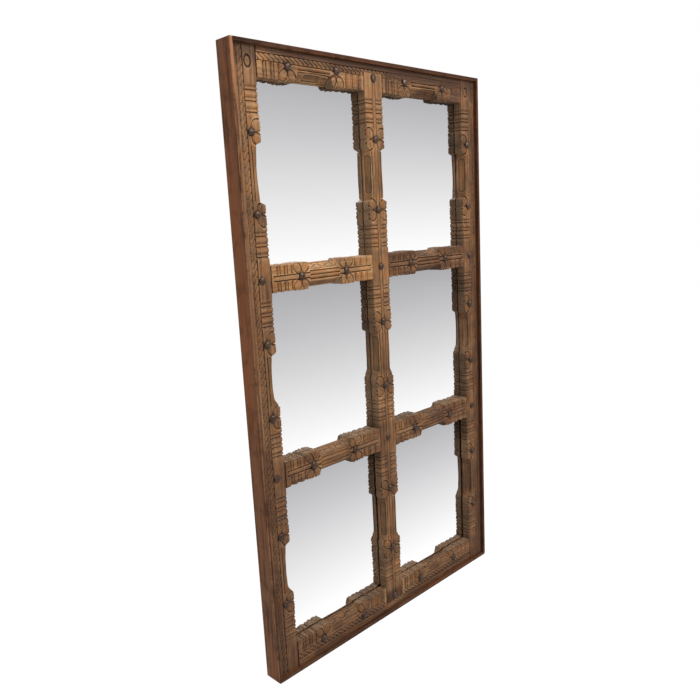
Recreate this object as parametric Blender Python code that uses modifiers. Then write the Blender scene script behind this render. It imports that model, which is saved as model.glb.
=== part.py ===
"""Panel wall mirror: an old carved teak window lattice, two panes wide and three high,
glazed with six mirror panes and set in a plain box casing that hangs on a wall.

Metres, +Z up. The origin is the middle of the wall plane, behind the mirror:
X runs to the right, Y runs into the wall, and the carved front faces -Y.
"""

import math
from collections import namedtuple

import bmesh
import bpy
from mathutils import Matrix, Vector

# Casing: four boards, the upright ones at full height
CASING_WIDTH = 1.052
CASING_HEIGHT = 1.800
CASING_DEPTH = 0.060
CASING_BOARD = 0.0095
CASING_ARRIS = 0.0012
FOOT_ROUND = 0.007

# Carved lattice: widths across the face, and how it sits in the casing
FIELD_RECESS = 0.0114
REVEAL_DEPTH = 0.0286
STILE_WIDTH = 0.0785
MULLION_WIDTH = 0.0775
TOP_RAIL_WIDTH = 0.079
UPPER_CROSS_WIDTH = 0.076
LOWER_CROSS_WIDTH = 0.0785
BOTTOM_RAIL_WIDTH = 0.0825
PANE_HEIGHT_SHARES = (0.332, 0.332, 0.336)

# Mirror panes in their rebates, and the plywood panel behind them
GLASS_THICKNESS = 0.005
REBATE_WIDTH = 0.011
PANE_PLAY = 0.001
PANEL_THICKNESS = 0.0055
PANEL_PLAY = 0.001

# Joinery of the lattice
TENON_LENGTH = 0.022
TENON_THICKNESS = 0.009
TENON_INSET = 0.010
TENON_SHOULDER = 0.014
TENON_ROOT = 0.004
LAP_DEPTH = 0.012

# Carving along each side of an opening, as shares of that side's length
FLUTE_SHARES = (0.058, 0.115, 0.172)
NAIL_SHARE_ON_UPRIGHTS = 0.283
NAIL_SHARE_ON_RAILS = 0.270
FLOWER_SPAN_SHARE = 0.142
PETAL_SPREAD_SHARE = 0.82

# Carving: its own sizes
FLUTE_WIDTH = 0.008
FLUTE_DEPTH = 0.003
FLUTE_STOP = 0.009
NOTCH_WIDTH = 0.009
PETAL_GAP = 0.0015
PETAL_PROUD = 0.002
PETAL_START = 0.010
PETAL_GROWTH = 0.0004
GROUND_DEPTH = 0.003
GROUND_STOP = 0.0055
SCALLOP_CUT = 0.004
COVE_ON_UPRIGHTS = 0.018
COVE_ON_RAILS = 0.022
COVE_DEPTH = 0.024
COVE_LAP = 0.001
BEAD_WIDTH = 0.010
BEAD_GROOVE_WIDTH = 0.003
BEAD_GROOVE_DEPTH = 0.002
BORDER_WIDTH = 0.025
BORDER_GROOVE_WIDTH = 0.004
BORDER_GROOVE_DEPTH = 0.0025

# Hand-forged iron nails
NAIL_HEAD_RADIUS = 0.012
NAIL_HEAD_HEIGHT = 0.007
NAIL_RIM_HEIGHT = 0.0012
NAIL_SHANK_WIDTH = 0.0045
NAIL_TIP_WIDTH = 0.0020
NAIL_SHANK_LENGTH = 0.016
NAIL_HOLE_SPARE = 0.002
NAIL_SINK = 0.0015
STILE_NAIL_SHIFT = 0.006

# Strap hangers with D-rings on the back
STRAP_WIDTH = 0.018
STRAP_LENGTH = 0.052
STRAP_THICKNESS = 0.0015
STRAP_MOUTH = 0.0008
RING_WIRE = 0.0020
RING_PLAY = 0.0003
RING_SIDE_PLAY = 0.0015
RING_REACH = 0.032
RING_CORNER = 0.003
HANGER_DROP = 0.300

# Clearances and overruns
TOUCH = 0.0003
OVERRUN = 0.006
SEAM = 0.0001

# Resolution
PETAL_SIDES = 6
SCALLOP_STEPS = 3
NAIL_SIDES = 8
DOME_STEPS = 2
RING_SIDES = 6
ARC_STEPS = 10
CORNER_STEPS = 4
FLAT_ANGLE = math.radians(0.5)

# Planes and lines worked out from the driving sizes
CARVED_FRONT = -(CASING_DEPTH - FIELD_RECESS)
GLASS_FRONT = CARVED_FRONT + REVEAL_DEPTH
FRAME_BACK = GLASS_FRONT + TOUCH + GLASS_THICKNESS
FRAME_THICKNESS = FRAME_BACK - CARVED_FRONT
PANEL_FRONT = FRAME_BACK + TOUCH
PANEL_BACK = PANEL_FRONT + PANEL_THICKNESS
INNER_X = CASING_WIDTH / 2 - CASING_BOARD
INNER_Z = CASING_HEIGHT / 2 - CASING_BOARD
RAIL_WIDTHS = (TOP_RAIL_WIDTH, UPPER_CROSS_WIDTH, LOWER_CROSS_WIDTH, BOTTOM_RAIL_WIDTH)
OPENINGS_HEIGHT = 2 * INNER_Z - sum(RAIL_WIDTHS)

Column = namedtuple("Column", "name left right")
Row = namedtuple("Row", "name low high")
Side = namedtuple("Side", "edge outward start length nail_line cove nail_share")
Box = namedtuple("Box", "low high")

COLUMNS = (
    Column("left", -INNER_X + STILE_WIDTH, -MULLION_WIDTH / 2),
    Column("right", MULLION_WIDTH / 2, INNER_X - STILE_WIDTH),
)


def pane_rows():
    """The three rows of openings, top row first."""
    rows = []
    high = INNER_Z
    for name, rail, share in zip(("top", "middle", "bottom"), RAIL_WIDTHS, PANE_HEIGHT_SHARES):
        high -= rail
        low = high - share * OPENINGS_HEIGHT
        rows.append(Row(name, low, high))
        high = low
    return tuple(rows)


ROWS = pane_rows()


# Materials


def material(name, colour, roughness, metallic=0.0):
    made = bpy.data.materials.new(name)
    made.use_nodes = True
    shader = made.node_tree.nodes["Principled BSDF"]
    shader.inputs["Base Color"].default_value = (*colour, 1.0)
    shader.inputs["Roughness"].default_value = roughness
    shader.inputs["Metallic"].default_value = metallic
    return made


def make_materials():
    return {
        "casing": material("stained_casing_wood", (0.115, 0.046, 0.022), 0.45),
        "teak": material("carved_teak", (0.235, 0.135, 0.070), 0.70),
        "mirror": material("silvered_glass", (0.90, 0.92, 0.92), 0.03, 1.0),
        "plywood": material("plywood", (0.42, 0.29, 0.17), 0.75),
        "zinc": material("zinc_plated_steel", (0.62, 0.63, 0.64), 0.35, 1.0),
        "iron": material("old_iron", (0.085, 0.065, 0.055), 0.55, 0.8),
    }


# Scene housekeeping


def clear_scene():
    for old in list(bpy.data.objects):
        bpy.data.objects.remove(old, do_unlink=True)


def new_collection(name):
    made = bpy.data.collections.new(name)
    bpy.context.scene.collection.children.link(made)
    return made


def put(name, mesh, collection, place=None, finish=None):
    """Links a named object with its mesh, its place and its material."""
    made = bpy.data.objects.new(name, mesh)
    collection.objects.link(made)
    if place is not None:
        made.matrix_world = place
    if finish is not None and not mesh.materials:
        mesh.materials.append(finish)
    return made


def put_cutter(name, mesh, collection, place=None):
    made = put(name, mesh, collection, place)
    made.hide_render = True
    made.display_type = "WIRE"
    return made


def boolean(target, tool, operation):
    """The exact solver leaves open edges on these many-sided faces, so closed meshes use the other."""
    step = target.modifiers.new(tool.name, "BOOLEAN")
    step.object = tool
    step.operation = operation
    step.solver = "MANIFOLD"


# Mesh builders


def mesh_of(name, bm):
    mesh = bpy.data.meshes.new(name)
    bm.to_mesh(mesh)
    bm.free()
    return mesh


def add_box(bm, box):
    """Adds a box between two corners to a mesh."""
    low = Vector(box.low)
    size = Vector(box.high) - low
    place = Matrix.Translation(low + size / 2) @ Matrix.Diagonal((*size, 1))
    bmesh.ops.create_cube(bm, size=1, matrix=place)


def box_mesh(name, *boxes):
    bm = bmesh.new()
    for box in boxes:
        add_box(bm, box)
    return mesh_of(name, bm)


def flat_mesh(name, loops, thickness, top):
    """A plate with its upper face at z = top: each loop is an outline, or a hole inside one."""
    drawing = bpy.data.curves.new(name, "CURVE")
    drawing.dimensions = "2D"
    drawing.fill_mode = "BOTH"
    drawing.extrude = thickness / 2
    for loop in loops:
        spline = drawing.splines.new("POLY")
        spline.points.add(len(loop) - 1)
        for point, (x, y) in zip(spline.points, loop):
            point.co = (x, y, 0, 1)
        spline.use_cyclic_u = True
    holder = bpy.data.objects.new(name, drawing)
    bpy.context.scene.collection.objects.link(holder)
    mesh = bpy.data.meshes.new_from_object(holder.evaluated_get(bpy.context.evaluated_depsgraph_get()))
    bpy.data.objects.remove(holder)
    bm = bmesh.new()
    bm.from_mesh(mesh)
    bpy.data.meshes.remove(mesh)
    bmesh.ops.remove_doubles(bm, verts=bm.verts, dist=SEAM)
    bmesh.ops.dissolve_limit(bm, angle_limit=FLAT_ANGLE, verts=bm.verts, edges=bm.edges)
    bmesh.ops.translate(bm, verts=bm.verts, vec=(0, 0, top - thickness / 2))
    return mesh_of(name, bm)


def add_vee(bm, start, end, width, depth):
    """A cutter for a V groove in the plane z = 0: width across at the face, depth at its root."""
    start = Vector((*start, 0))
    end = Vector((*end, 0))
    along = (end - start).normalized()
    up = Vector((0, 0, 1))
    across = up.cross(along)
    tall = depth + OVERRUN
    wide = width * tall / depth
    # the unit triangle has its corners on a circle of radius 1, the first on its +Y side
    turn = Matrix((across, -up, along)).transposed().to_4x4()
    unit_height = 1 + math.cos(math.pi / 3)
    unit_width = 2 * math.sin(math.pi / 3)
    size = Matrix.Diagonal((wide / unit_width, tall / unit_height, (end - start).length, 1))
    root = Matrix.Translation((0, 1, 0)).inverted()
    place = Matrix.Translation((start + end) / 2 - up * depth) @ turn @ size @ root
    made = bmesh.ops.create_cone(
        bm, cap_ends=True, segments=3, radius1=1, radius2=1, depth=1, matrix=place
    )
    return made["verts"]


def turned_mesh(name, profile, sides):
    """A solid turned about Z from a profile of (radius, height) points, from its top to its foot."""
    bm = bmesh.new()
    points = [bm.verts.new((radius, 0, height)) for radius, height in profile]
    for first, second in zip(points, points[1:]):
        bm.edges.new((first, second))
    bmesh.ops.spin(
        bm,
        geom=bm.verts[:] + bm.edges[:],
        axis=(0, 0, 1),
        cent=(0, 0, 0),
        angle=math.tau,
        steps=sides,
        use_merge=True,
    )
    bmesh.ops.remove_doubles(bm, verts=bm.verts, dist=SEAM)
    bmesh.ops.recalc_face_normals(bm, faces=bm.faces)
    return mesh_of(name, bm)


# Outlines of the carving, in a member's own axes: s along it, t across it


def side_nails(side):
    """Where the two nails of one side of an opening lie along the member."""
    inset = side.nail_share * side.length
    return side.start + inset, side.start + side.length - inset


def petal(side, nail, hand, growth=0.0):
    """Centre and half axes of one petal, which leans towards +s or -s by its hand.

    Its width is what brings its flank to half the gap from the line between the two petals.
    """
    reach = abs(side.edge - side.nail_line) + PETAL_PROUD
    spread = PETAL_SPREAD_SHARE * FLOWER_SPAN_SHARE * side.length / 2
    tip = Vector((hand * spread, side.outward * reach))
    axis = tip.normalized()
    middle = axis * (PETAL_START + tip.length) / 2
    half_length = (tip.length - PETAL_START) / 2
    flank = abs(middle.x) - PETAL_GAP / 2
    half_width = math.sqrt(flank**2 - (half_length * axis.x) ** 2) / abs(axis.y)
    centre = Vector((nail, side.nail_line)) + middle
    return centre, axis * (half_length + growth), axis.orthogonal() * (half_width + growth)


def petal_loop(side, nail, hand):
    centre, along, across = petal(side, nail, hand, PETAL_GROWTH)
    turns = (math.tau * i / PETAL_SIDES for i in range(PETAL_SIDES))
    return [centre + along * math.cos(turn) + across * math.sin(turn) for turn in turns]


def scallop(side, nail, hand):
    """The stretch of a petal's outline that stands out past the cut-back edge, in order of s."""
    centre, along, across = petal(side, nail, hand)
    base = side.edge - side.outward * SCALLOP_CUT
    swing = math.hypot(along.y, across.y)
    middle = math.atan2(across.y, along.y)
    half = math.acos((base - centre.y) / (side.outward * swing))
    if side.outward < 0:
        middle += math.pi
    points = []
    for i in range(SCALLOP_STEPS + 1):
        turn = middle - half + 2 * half * i / SCALLOP_STEPS
        points.append(centre + along * math.cos(turn) + across * math.sin(turn))
    return sorted(points, key=lambda point: point.x)


def side_profile(side):
    """One side of an opening from end to end: flute notches, scallops and the cut-back middle."""

    def at(s, cut):
        return Vector((side.start + s, side.edge - side.outward * cut))

    half = [at(0, 0)]
    for share in FLUTE_SHARES:
        middle = share * side.length
        half.append(at(middle - NOTCH_WIDTH / 2, 0))
        half.append(at(middle, FLUTE_DEPTH))
        half.append(at(middle + NOTCH_WIDTH / 2, 0))
    flower_start = (side.nail_share - FLOWER_SPAN_SHARE / 2) * side.length
    half.append(at(flower_start, 0))
    half.append(at(flower_start, SCALLOP_CUT))
    nail = side_nails(side)[0]
    half += scallop(side, nail, -1) + scallop(side, nail, 1)
    mirror = 2 * side.start + side.length
    return half + [Vector((mirror - point.x, point.y)) for point in reversed(half)]


def member_outline(length, width, sides):
    """The outline of a member whose plain edges are straight and whose open sides are carved."""
    low = [side for side in sides if side.outward < 0]
    high = [side for side in sides if side.outward > 0]
    points = [Vector((0, -width / 2))]
    for side in low:
        points += side_profile(side)
    points += [Vector((length, -width / 2)), Vector((length, width / 2))]
    for side in reversed(high):
        points += reversed(side_profile(side))
    points.append(Vector((0, width / 2)))
    kept = []
    for point in points:
        if not kept or (point - kept[-1]).length > SEAM:
            kept.append(point)
    return kept


# Cutters of the carving, in a member's own axes with its face at z = 0


def groove_mesh(name, length, width, sides, two_sided):
    """The flutes across the face, and the long grooves beside the bead or the border."""
    bm = bmesh.new()
    for side in sides:
        outer = side.edge + side.outward * OVERRUN
        inner = side.nail_line + side.outward * FLUTE_STOP
        for share in FLUTE_SHARES:
            for s in (share * side.length, (1 - share) * side.length):
                start = (side.start + s, inner)
                end = (side.start + s, outer)
                add_vee(bm, start, end, FLUTE_WIDTH, FLUTE_DEPTH)
    if two_sided:
        for t in (-BEAD_WIDTH / 2, BEAD_WIDTH / 2):
            start = (-OVERRUN, t)
            end = (length + OVERRUN, t)
            add_vee(bm, start, end, BEAD_GROOVE_WIDTH, BEAD_GROOVE_DEPTH)
    else:
        t = -sides[0].outward * (width / 2 - BORDER_WIDTH)
        start = (-OVERRUN, t)
        end = (length + OVERRUN, t)
        add_vee(bm, start, end, BORDER_GROOVE_WIDTH, BORDER_GROOVE_DEPTH)
    bmesh.ops.recalc_face_normals(bm, faces=bm.faces)
    return mesh_of(name, bm)


def ground_mesh(name, sides):
    """The sunk ground round the petals, each petal left standing as a hole in the cutter."""
    loops = []
    for side in sides:
        half_span = FLOWER_SPAN_SHARE * side.length / 2
        inner = side.nail_line + side.outward * GROUND_STOP
        outer = side.edge + side.outward * (PETAL_PROUD + OVERRUN)
        for nail in side_nails(side):
            left = nail - half_span
            right = nail + half_span
            loops.append([(left, inner), (right, inner), (right, outer), (left, outer)])
            loops += [petal_loop(side, nail, hand) for hand in (-1, 1)]
    return flat_mesh(name, loops, GROUND_DEPTH + OVERRUN, OVERRUN)


def cove_mesh(name, sides):
    """The slanting cut that narrows the face between the two flowers of a side."""
    bm = bmesh.new()
    for side in sides:
        first, last = side_nails(side)
        half_span = FLOWER_SPAN_SHARE * side.length / 2
        start = first + half_span - COVE_LAP
        end = last - half_span + COVE_LAP
        slope = COVE_DEPTH / (side.cove - SCALLOP_CUT)
        far = side.cove + OVERRUN
        corners = (
            (side.cove + OVERRUN / slope, OVERRUN),
            (side.cove - far, -far * slope),
            (side.cove - far, OVERRUN),
        )
        ends = []
        for s in (start, end):
            ring = [bm.verts.new((s, side.edge - side.outward * cut, z)) for cut, z in corners]
            ends.append(bm.faces.new(ring))
        bmesh.ops.bridge_loops(bm, edges=[edge for face in ends for edge in face.edges])
    bmesh.ops.recalc_face_normals(bm, faces=bm.faces)
    return mesh_of(name, bm)


# Places of the members


def along_x(x, z):
    """A member lying along X: s runs to the right, t up, and the face looks towards -Y."""
    return Matrix.Translation((x, CARVED_FRONT, z)) @ Matrix.Rotation(math.radians(90), 4, "X")


def along_z(x, z):
    """A member standing along Z: s runs up, t to the left, and the face looks towards -Y."""
    upright = Matrix.Rotation(math.radians(-90), 4, "Y") @ Matrix.Rotation(math.radians(90), 4, "X")
    return Matrix.Translation((x, CARVED_FRONT, z)) @ upright


def rail_heights():
    """Each rail's low and high edge, from the top rail down."""
    edges = [INNER_Z - TOUCH]
    for row in ROWS:
        edges += [row.high, row.low]
    edges.append(-INNER_Z + TOUCH)
    return [(edges[i + 1], edges[i]) for i in range(0, len(edges), 2)]


def tenon_box(low, high, root_x, hand):
    """A tenon from a rail's end at root_x towards +X or -X by its hand, in world axes."""
    front = CARVED_FRONT + TENON_INSET
    xs = sorted((root_x - hand * TENON_ROOT, root_x + hand * TENON_LENGTH))
    return Box(
        (xs[0], front, low + TENON_SHOULDER),
        (xs[1], front + TENON_THICKNESS, high - TENON_SHOULDER),
    )


def grown(box, by):
    return Box(Vector(box.low) - Vector((by, by, by)), Vector(box.high) + Vector((by, by, by)))


def rebate_box(column, row):
    """The seat of one pane, cut into the backs of the members round its opening."""
    return Box(
        (column.left - REBATE_WIDTH, GLASS_FRONT, row.low - REBATE_WIDTH),
        (column.right + REBATE_WIDTH, FRAME_BACK + OVERRUN, row.high + REBATE_WIDTH),
    )


def all_rebates():
    return [rebate_box(column, row) for column in COLUMNS for row in ROWS]


# Nails


def nail_head_mesh(name, foot):
    """The domed head of a forged nail, standing on a foot at this height."""
    rise = NAIL_HEAD_HEIGHT - NAIL_RIM_HEIGHT
    profile = []
    for i in range(DOME_STEPS + 1):
        turn = math.pi / 2 * i / DOME_STEPS
        profile.append((NAIL_HEAD_RADIUS * math.sin(turn), NAIL_RIM_HEIGHT + rise * math.cos(turn)))
    profile += [(NAIL_HEAD_RADIUS, foot), (0, foot)]
    return turned_mesh(name, profile, NAIL_SIDES)


def add_shank(bm, width, tip_width, length, overlap, place):
    """A square shank that tapers to its tip, below a head whose underside is at z = 0 of its place."""
    bmesh.ops.create_cone(
        bm,
        cap_ends=True,
        segments=4,
        radius1=tip_width / math.sqrt(2),
        radius2=width / math.sqrt(2),
        depth=length + overlap,
        matrix=place @ Matrix.Translation((0, 0, (overlap - length) / 2)),
    )


def nail_mesh():
    """A whole nail, the shank joined into the head."""
    shank = bmesh.new()
    add_shank(shank, NAIL_SHANK_WIDTH, NAIL_TIP_WIDTH, NAIL_SHANK_LENGTH, NAIL_RIM_HEIGHT, Matrix())
    tool = bpy.data.objects.new("nail_shank", mesh_of("nail_shank", shank))
    nail = bpy.data.objects.new("nail", nail_head_mesh("nail", 0))
    for made in (tool, nail):
        bpy.context.scene.collection.objects.link(made)
    boolean(nail, tool, "UNION")
    mesh = bpy.data.meshes.new_from_object(nail.evaluated_get(bpy.context.evaluated_depsgraph_get()))
    for made in (tool, nail):
        bpy.data.objects.remove(made)
    return mesh


def upright_nails():
    """Heights of the nails of an upright: a flower's two for each pane, and one for each cross rail."""
    heights = []
    for row in ROWS:
        inset = NAIL_SHARE_ON_UPRIGHTS * (row.high - row.low)
        heights += [row.high - inset, row.low + inset]
    for above, below in zip(ROWS, ROWS[1:]):
        heights.append((above.low + below.high) / 2)
    return sorted(heights, reverse=True)


def nail_turn():
    """Turns a nail's dome towards -Y."""
    return Matrix.Rotation(math.radians(90), 4, "X")


def make_nails(parts, finish):
    mesh = nail_mesh()
    ends = [INNER_Z - TOP_RAIL_WIDTH / 2, -INNER_Z + BOTTOM_RAIL_WIDTH / 2]
    stile_line = INNER_X - STILE_WIDTH + (STILE_WIDTH - TOUCH) / 2 - STILE_NAIL_SHIFT
    uprights = (
        ("stile_left", -stile_line, upright_nails()),
        ("mullion", 0.0, sorted(upright_nails() + ends, reverse=True)),
        ("stile_right", stile_line, upright_nails()),
    )
    for upright, x, heights in uprights:
        for number, z in enumerate(heights, 1):
            place = Matrix.Translation((x, CARVED_FRONT - TOUCH, z)) @ nail_turn()
            put(f"nail_{upright}_{number}", mesh, parts, place, finish)


def nail_hole_mesh(name, x, heights):
    """The square holes that the nails of one upright go into."""
    bm = bmesh.new()
    width = NAIL_SHANK_WIDTH + 2 * TOUCH
    depth = NAIL_SHANK_LENGTH + NAIL_HOLE_SPARE
    for z in heights:
        place = Matrix.Translation((x, CARVED_FRONT, z)) @ nail_turn()
        add_shank(bm, width, width, depth, OVERRUN, place)
    return mesh_of(name, bm)


def fused_nail_mesh(name, nails):
    """Nail heads that are one piece with their rail, in the rail's own axes."""
    head = nail_head_mesh("nail_head", -NAIL_SINK)
    bm = bmesh.new()
    for s, t in nails:
        added = bmesh.new()
        added.from_mesh(head)
        bmesh.ops.translate(added, verts=added.verts, vec=(s, t, 0))
        shifted = mesh_of("shifted_head", added)
        bm.from_mesh(shifted)
        bpy.data.meshes.remove(shifted)
    bpy.data.meshes.remove(head)
    return mesh_of(name, bm)


# The carved members


def upright_side(edge, outward, row, foot):
    """One side of an opening along an upright whose foot is at this height."""
    start = row.low - foot
    length = row.high - row.low
    return Side(edge, outward, start, length, 0.0, COVE_ON_UPRIGHTS, NAIL_SHARE_ON_UPRIGHTS)


def rail_side(edge, outward, start, length):
    """One side of an opening along a rail, its nails on the rail's middle line."""
    return Side(edge, outward, start, length, 0.0, COVE_ON_RAILS, NAIL_SHARE_ON_RAILS)


def carve(name, length, width, sides, place, parts, cutters, finish, world_cuts):
    """A carved member: its outline, then the cuts that its joints and its carving need."""
    outline = member_outline(length, width, sides)
    blank = flat_mesh(name, [outline], FRAME_THICKNESS, 0)
    member = put(name, blank, parts, place, finish)
    two_sided = len({side.outward for side in sides}) == 2
    boolean(member, put_cutter(name + "_joint_cuts", world_cuts, cutters), "DIFFERENCE")
    carving = (
        groove_mesh(name + "_grooves", length, width, sides, two_sided),
        ground_mesh(name + "_grounds", sides),
        cove_mesh(name + "_coves", sides),
    )
    for mesh in carving:
        boolean(member, put_cutter(mesh.name, mesh, cutters, place), "DIFFERENCE")
    return member


def make_uprights(parts, cutters, finish):
    """The two stiles at full height, and the mullion, which laps over the top and bottom rails."""
    rails = rail_heights()
    low = -INNER_Z + TOUCH
    high = INNER_Z - TOUCH
    stile_width = STILE_WIDTH - TOUCH
    heights = upright_nails()
    for hand, name in ((-1, "stile_left"), (1, "stile_right")):
        inner = hand * (INNER_X - STILE_WIDTH)
        centre = inner + hand * stile_width / 2
        sides = [upright_side(hand * stile_width / 2, hand, row, low) for row in reversed(ROWS)]
        cuts = bmesh.new()
        for rail_low, rail_high in rails:
            mouth = inner - hand * TOUCH
            tenon = grown(tenon_box(rail_low, rail_high, mouth, hand), TOUCH)
            add_box(cuts, tenon)
        rebates = [box for box in all_rebates() if (box.low[0] + box.high[0]) * hand > 0]
        for box in rebates:
            add_box(cuts, box)
        holes = nail_hole_mesh("holes", centre - hand * STILE_NAIL_SHIFT, heights)
        cuts.from_mesh(holes)
        bpy.data.meshes.remove(holes)
        carve(
            name,
            high - low,
            stile_width,
            sides,
            along_z(centre, low),
            parts,
            cutters,
            finish,
            mesh_of(name + "_joint_cuts", cuts),
        )
    make_mullion(parts, cutters, finish, rails, heights)


def make_mullion(parts, cutters, finish, rails, heights):
    """The middle upright, halved at both ends over the rails, up to their borders."""
    low = -INNER_Z + TOUCH + BORDER_WIDTH
    high = INNER_Z - TOUCH - BORDER_WIDTH
    sides = []
    for row in reversed(ROWS):
        for outward in (-1, 1):
            sides.append(upright_side(outward * MULLION_WIDTH / 2, outward, row, low))
    cuts = bmesh.new()
    for rail_low, rail_high in rails[1:-1]:
        for hand in (-1, 1):
            root = hand * (MULLION_WIDTH / 2 + TOUCH)
            add_box(cuts, grown(tenon_box(rail_low, rail_high, root, -hand), TOUCH))
    for box in all_rebates():
        add_box(cuts, box)
    half = MULLION_WIDTH / 2 + OVERRUN
    lap = CARVED_FRONT + LAP_DEPTH
    laps = (
        Box((-half, lap, rails[0][0] - TOUCH), (half, FRAME_BACK + OVERRUN, high + OVERRUN)),
        Box((-half, lap, low - OVERRUN), (half, FRAME_BACK + OVERRUN, rails[-1][1] + TOUCH)),
    )
    ends = [INNER_Z - TOP_RAIL_WIDTH / 2, -INNER_Z + BOTTOM_RAIL_WIDTH / 2]
    holes = nail_hole_mesh("holes", 0.0, heights + ends)
    cuts.from_mesh(holes)
    bpy.data.meshes.remove(holes)
    member = carve(
        "mullion",
        high - low,
        MULLION_WIDTH,
        sides,
        along_z(0, low),
        parts,
        cutters,
        finish,
        mesh_of("mullion_joint_cuts", cuts),
    )
    boolean(member, put_cutter("mullion_laps", box_mesh("mullion_laps", *laps), cutters), "DIFFERENCE")


def make_cross_rails(parts, cutters, finish):
    """Four short rails between the stiles and the mullion, each tenoned at both ends."""
    heights = rail_heights()
    for level, (low, high) in zip(("upper", "lower"), heights[1:-1]):
        for column in COLUMNS:
            name = f"cross_rail_{level}_{column.name}"
            left = column.left + TOUCH
            right = column.right - TOUCH
            sides = [
                rail_side(outward * (high - low) / 2, outward, 0.0, right - left) for outward in (-1, 1)
            ]
            place = along_x(left, (low + high) / 2)
            cuts = box_mesh(name + "_joint_cuts", *all_rebates())
            rail = carve(name, right - left, high - low, sides, place, parts, cutters, finish, cuts)
            tenons = (tenon_box(low, high, left, -1), tenon_box(low, high, right, 1))
            add_tenons(rail, tenons, cutters)
            add_fused_nails(rail, [(s, 0.0) for s in side_nails(sides[0])], place, cutters)


def make_end_rails(parts, cutters, finish):
    """The top and bottom rails, from stile to stile, cut away in front where the mullion laps over."""
    heights = rail_heights()
    left = COLUMNS[0].left + TOUCH
    right = COLUMNS[1].right - TOUCH
    for name, (low, high), outward in (
        ("top_rail", heights[0], -1),
        ("bottom_rail", heights[-1], 1),
    ):
        width = high - low
        edge = outward * width / 2
        openings = [(max(column.left, left), min(column.right, right)) for column in COLUMNS]
        sides = [rail_side(edge, outward, start - left, end - start) for start, end in openings]
        housing_half = MULLION_WIDTH / 2 + TOUCH
        lap = CARVED_FRONT + LAP_DEPTH + TOUCH
        border = BORDER_WIDTH - TOUCH
        if outward < 0:
            housing_low, housing_high = low - OVERRUN, high - border
        else:
            housing_low, housing_high = low + border, high + OVERRUN
        housing = Box(
            (-housing_half, CARVED_FRONT - OVERRUN, housing_low),
            (housing_half, lap, housing_high),
        )
        place = along_x(left, (low + high) / 2)
        cuts = box_mesh(name + "_joint_cuts", *all_rebates())
        rail = carve(name, right - left, width, sides, place, parts, cutters, finish, cuts)
        tool = put_cutter(name + "_housing", box_mesh(name + "_housing", housing), cutters)
        boolean(rail, tool, "DIFFERENCE")
        hole = nail_hole_mesh(name + "_nail_hole", 0.0, [(low + high) / 2])
        boolean(rail, put_cutter(hole.name, hole, cutters), "DIFFERENCE")
        tenons = (tenon_box(low, high, left, -1), tenon_box(low, high, right, 1))
        add_tenons(rail, tenons, cutters)
        nails = [(s, 0.0) for side in sides for s in side_nails(side)]
        add_fused_nails(rail, nails, place, cutters)


def add_tenons(rail, tenons, cutters):
    tool = put_cutter(rail.name + "_tenons", box_mesh(rail.name + "_tenons", *tenons), cutters)
    boolean(rail, tool, "UNION")


def add_fused_nails(rail, nails, place, cutters):
    mesh = fused_nail_mesh(rail.name + "_nails", nails)
    boolean(rail, put_cutter(mesh.name, mesh, cutters, place), "UNION")


# Casing, panes and back panel


def rounded_board(name, box, parts, finish, foot_corner=None):
    """A casing board with eased edges, and one outer foot corner worn round where it has one."""
    bm = bmesh.new()
    add_box(bm, box)
    if foot_corner is not None:
        worn = [
            edge
            for edge in bm.edges
            if all(abs(v.co.x - foot_corner) < SEAM and abs(v.co.z - box.low[2]) < SEAM for v in edge.verts)
        ]
        bmesh.ops.bevel(bm, geom=worn, offset=FOOT_ROUND, segments=CORNER_STEPS, profile=0.5, affect="EDGES")
    centre = (Vector(box.low) + Vector(box.high)) / 2
    bmesh.ops.translate(bm, verts=bm.verts, vec=-centre)
    board = put(name, mesh_of(name, bm), parts, Matrix.Translation(centre), finish)
    eased = board.modifiers.new("eased_edges", "BEVEL")
    eased.width = CASING_ARRIS
    eased.segments = 1
    eased.limit_method = "ANGLE"
    eased.angle_limit = math.radians(60)
    return board


def make_casing(parts, finish):
    half_width = CASING_WIDTH / 2
    half_height = CASING_HEIGHT / 2
    for hand, name in ((-1, "casing_left"), (1, "casing_right")):
        xs = sorted((hand * INNER_X, hand * half_width))
        box = Box((xs[0], -CASING_DEPTH, -half_height), (xs[1], 0, half_height))
        rounded_board(name, box, parts, finish, hand * half_width)
    inner = INNER_X - TOUCH
    top = Box((-inner, -CASING_DEPTH, INNER_Z), (inner, 0, half_height))
    bottom = Box((-inner, -CASING_DEPTH, -half_height), (inner, 0, -INNER_Z))
    rounded_board("casing_top", top, parts, finish)
    rounded_board("casing_bottom", bottom, parts, finish)


def make_panes(parts, finish):
    reach = REBATE_WIDTH - PANE_PLAY
    front = GLASS_FRONT + TOUCH
    for row in ROWS:
        for column in COLUMNS:
            box = Box(
                (column.left - reach, front, row.low - reach),
                (column.right + reach, front + GLASS_THICKNESS, row.high + reach),
            )
            name = f"mirror_{row.name}_{column.name}"
            put(name, box_mesh(name, box), parts, None, finish)


def make_back_panel(parts, finish):
    half_x = INNER_X - PANEL_PLAY
    half_z = INNER_Z - PANEL_PLAY
    box = Box((-half_x, PANEL_FRONT, -half_z), (half_x, PANEL_BACK, half_z))
    put("back_panel", box_mesh("back_panel", box), parts, None, finish)


# Hangers


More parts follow.
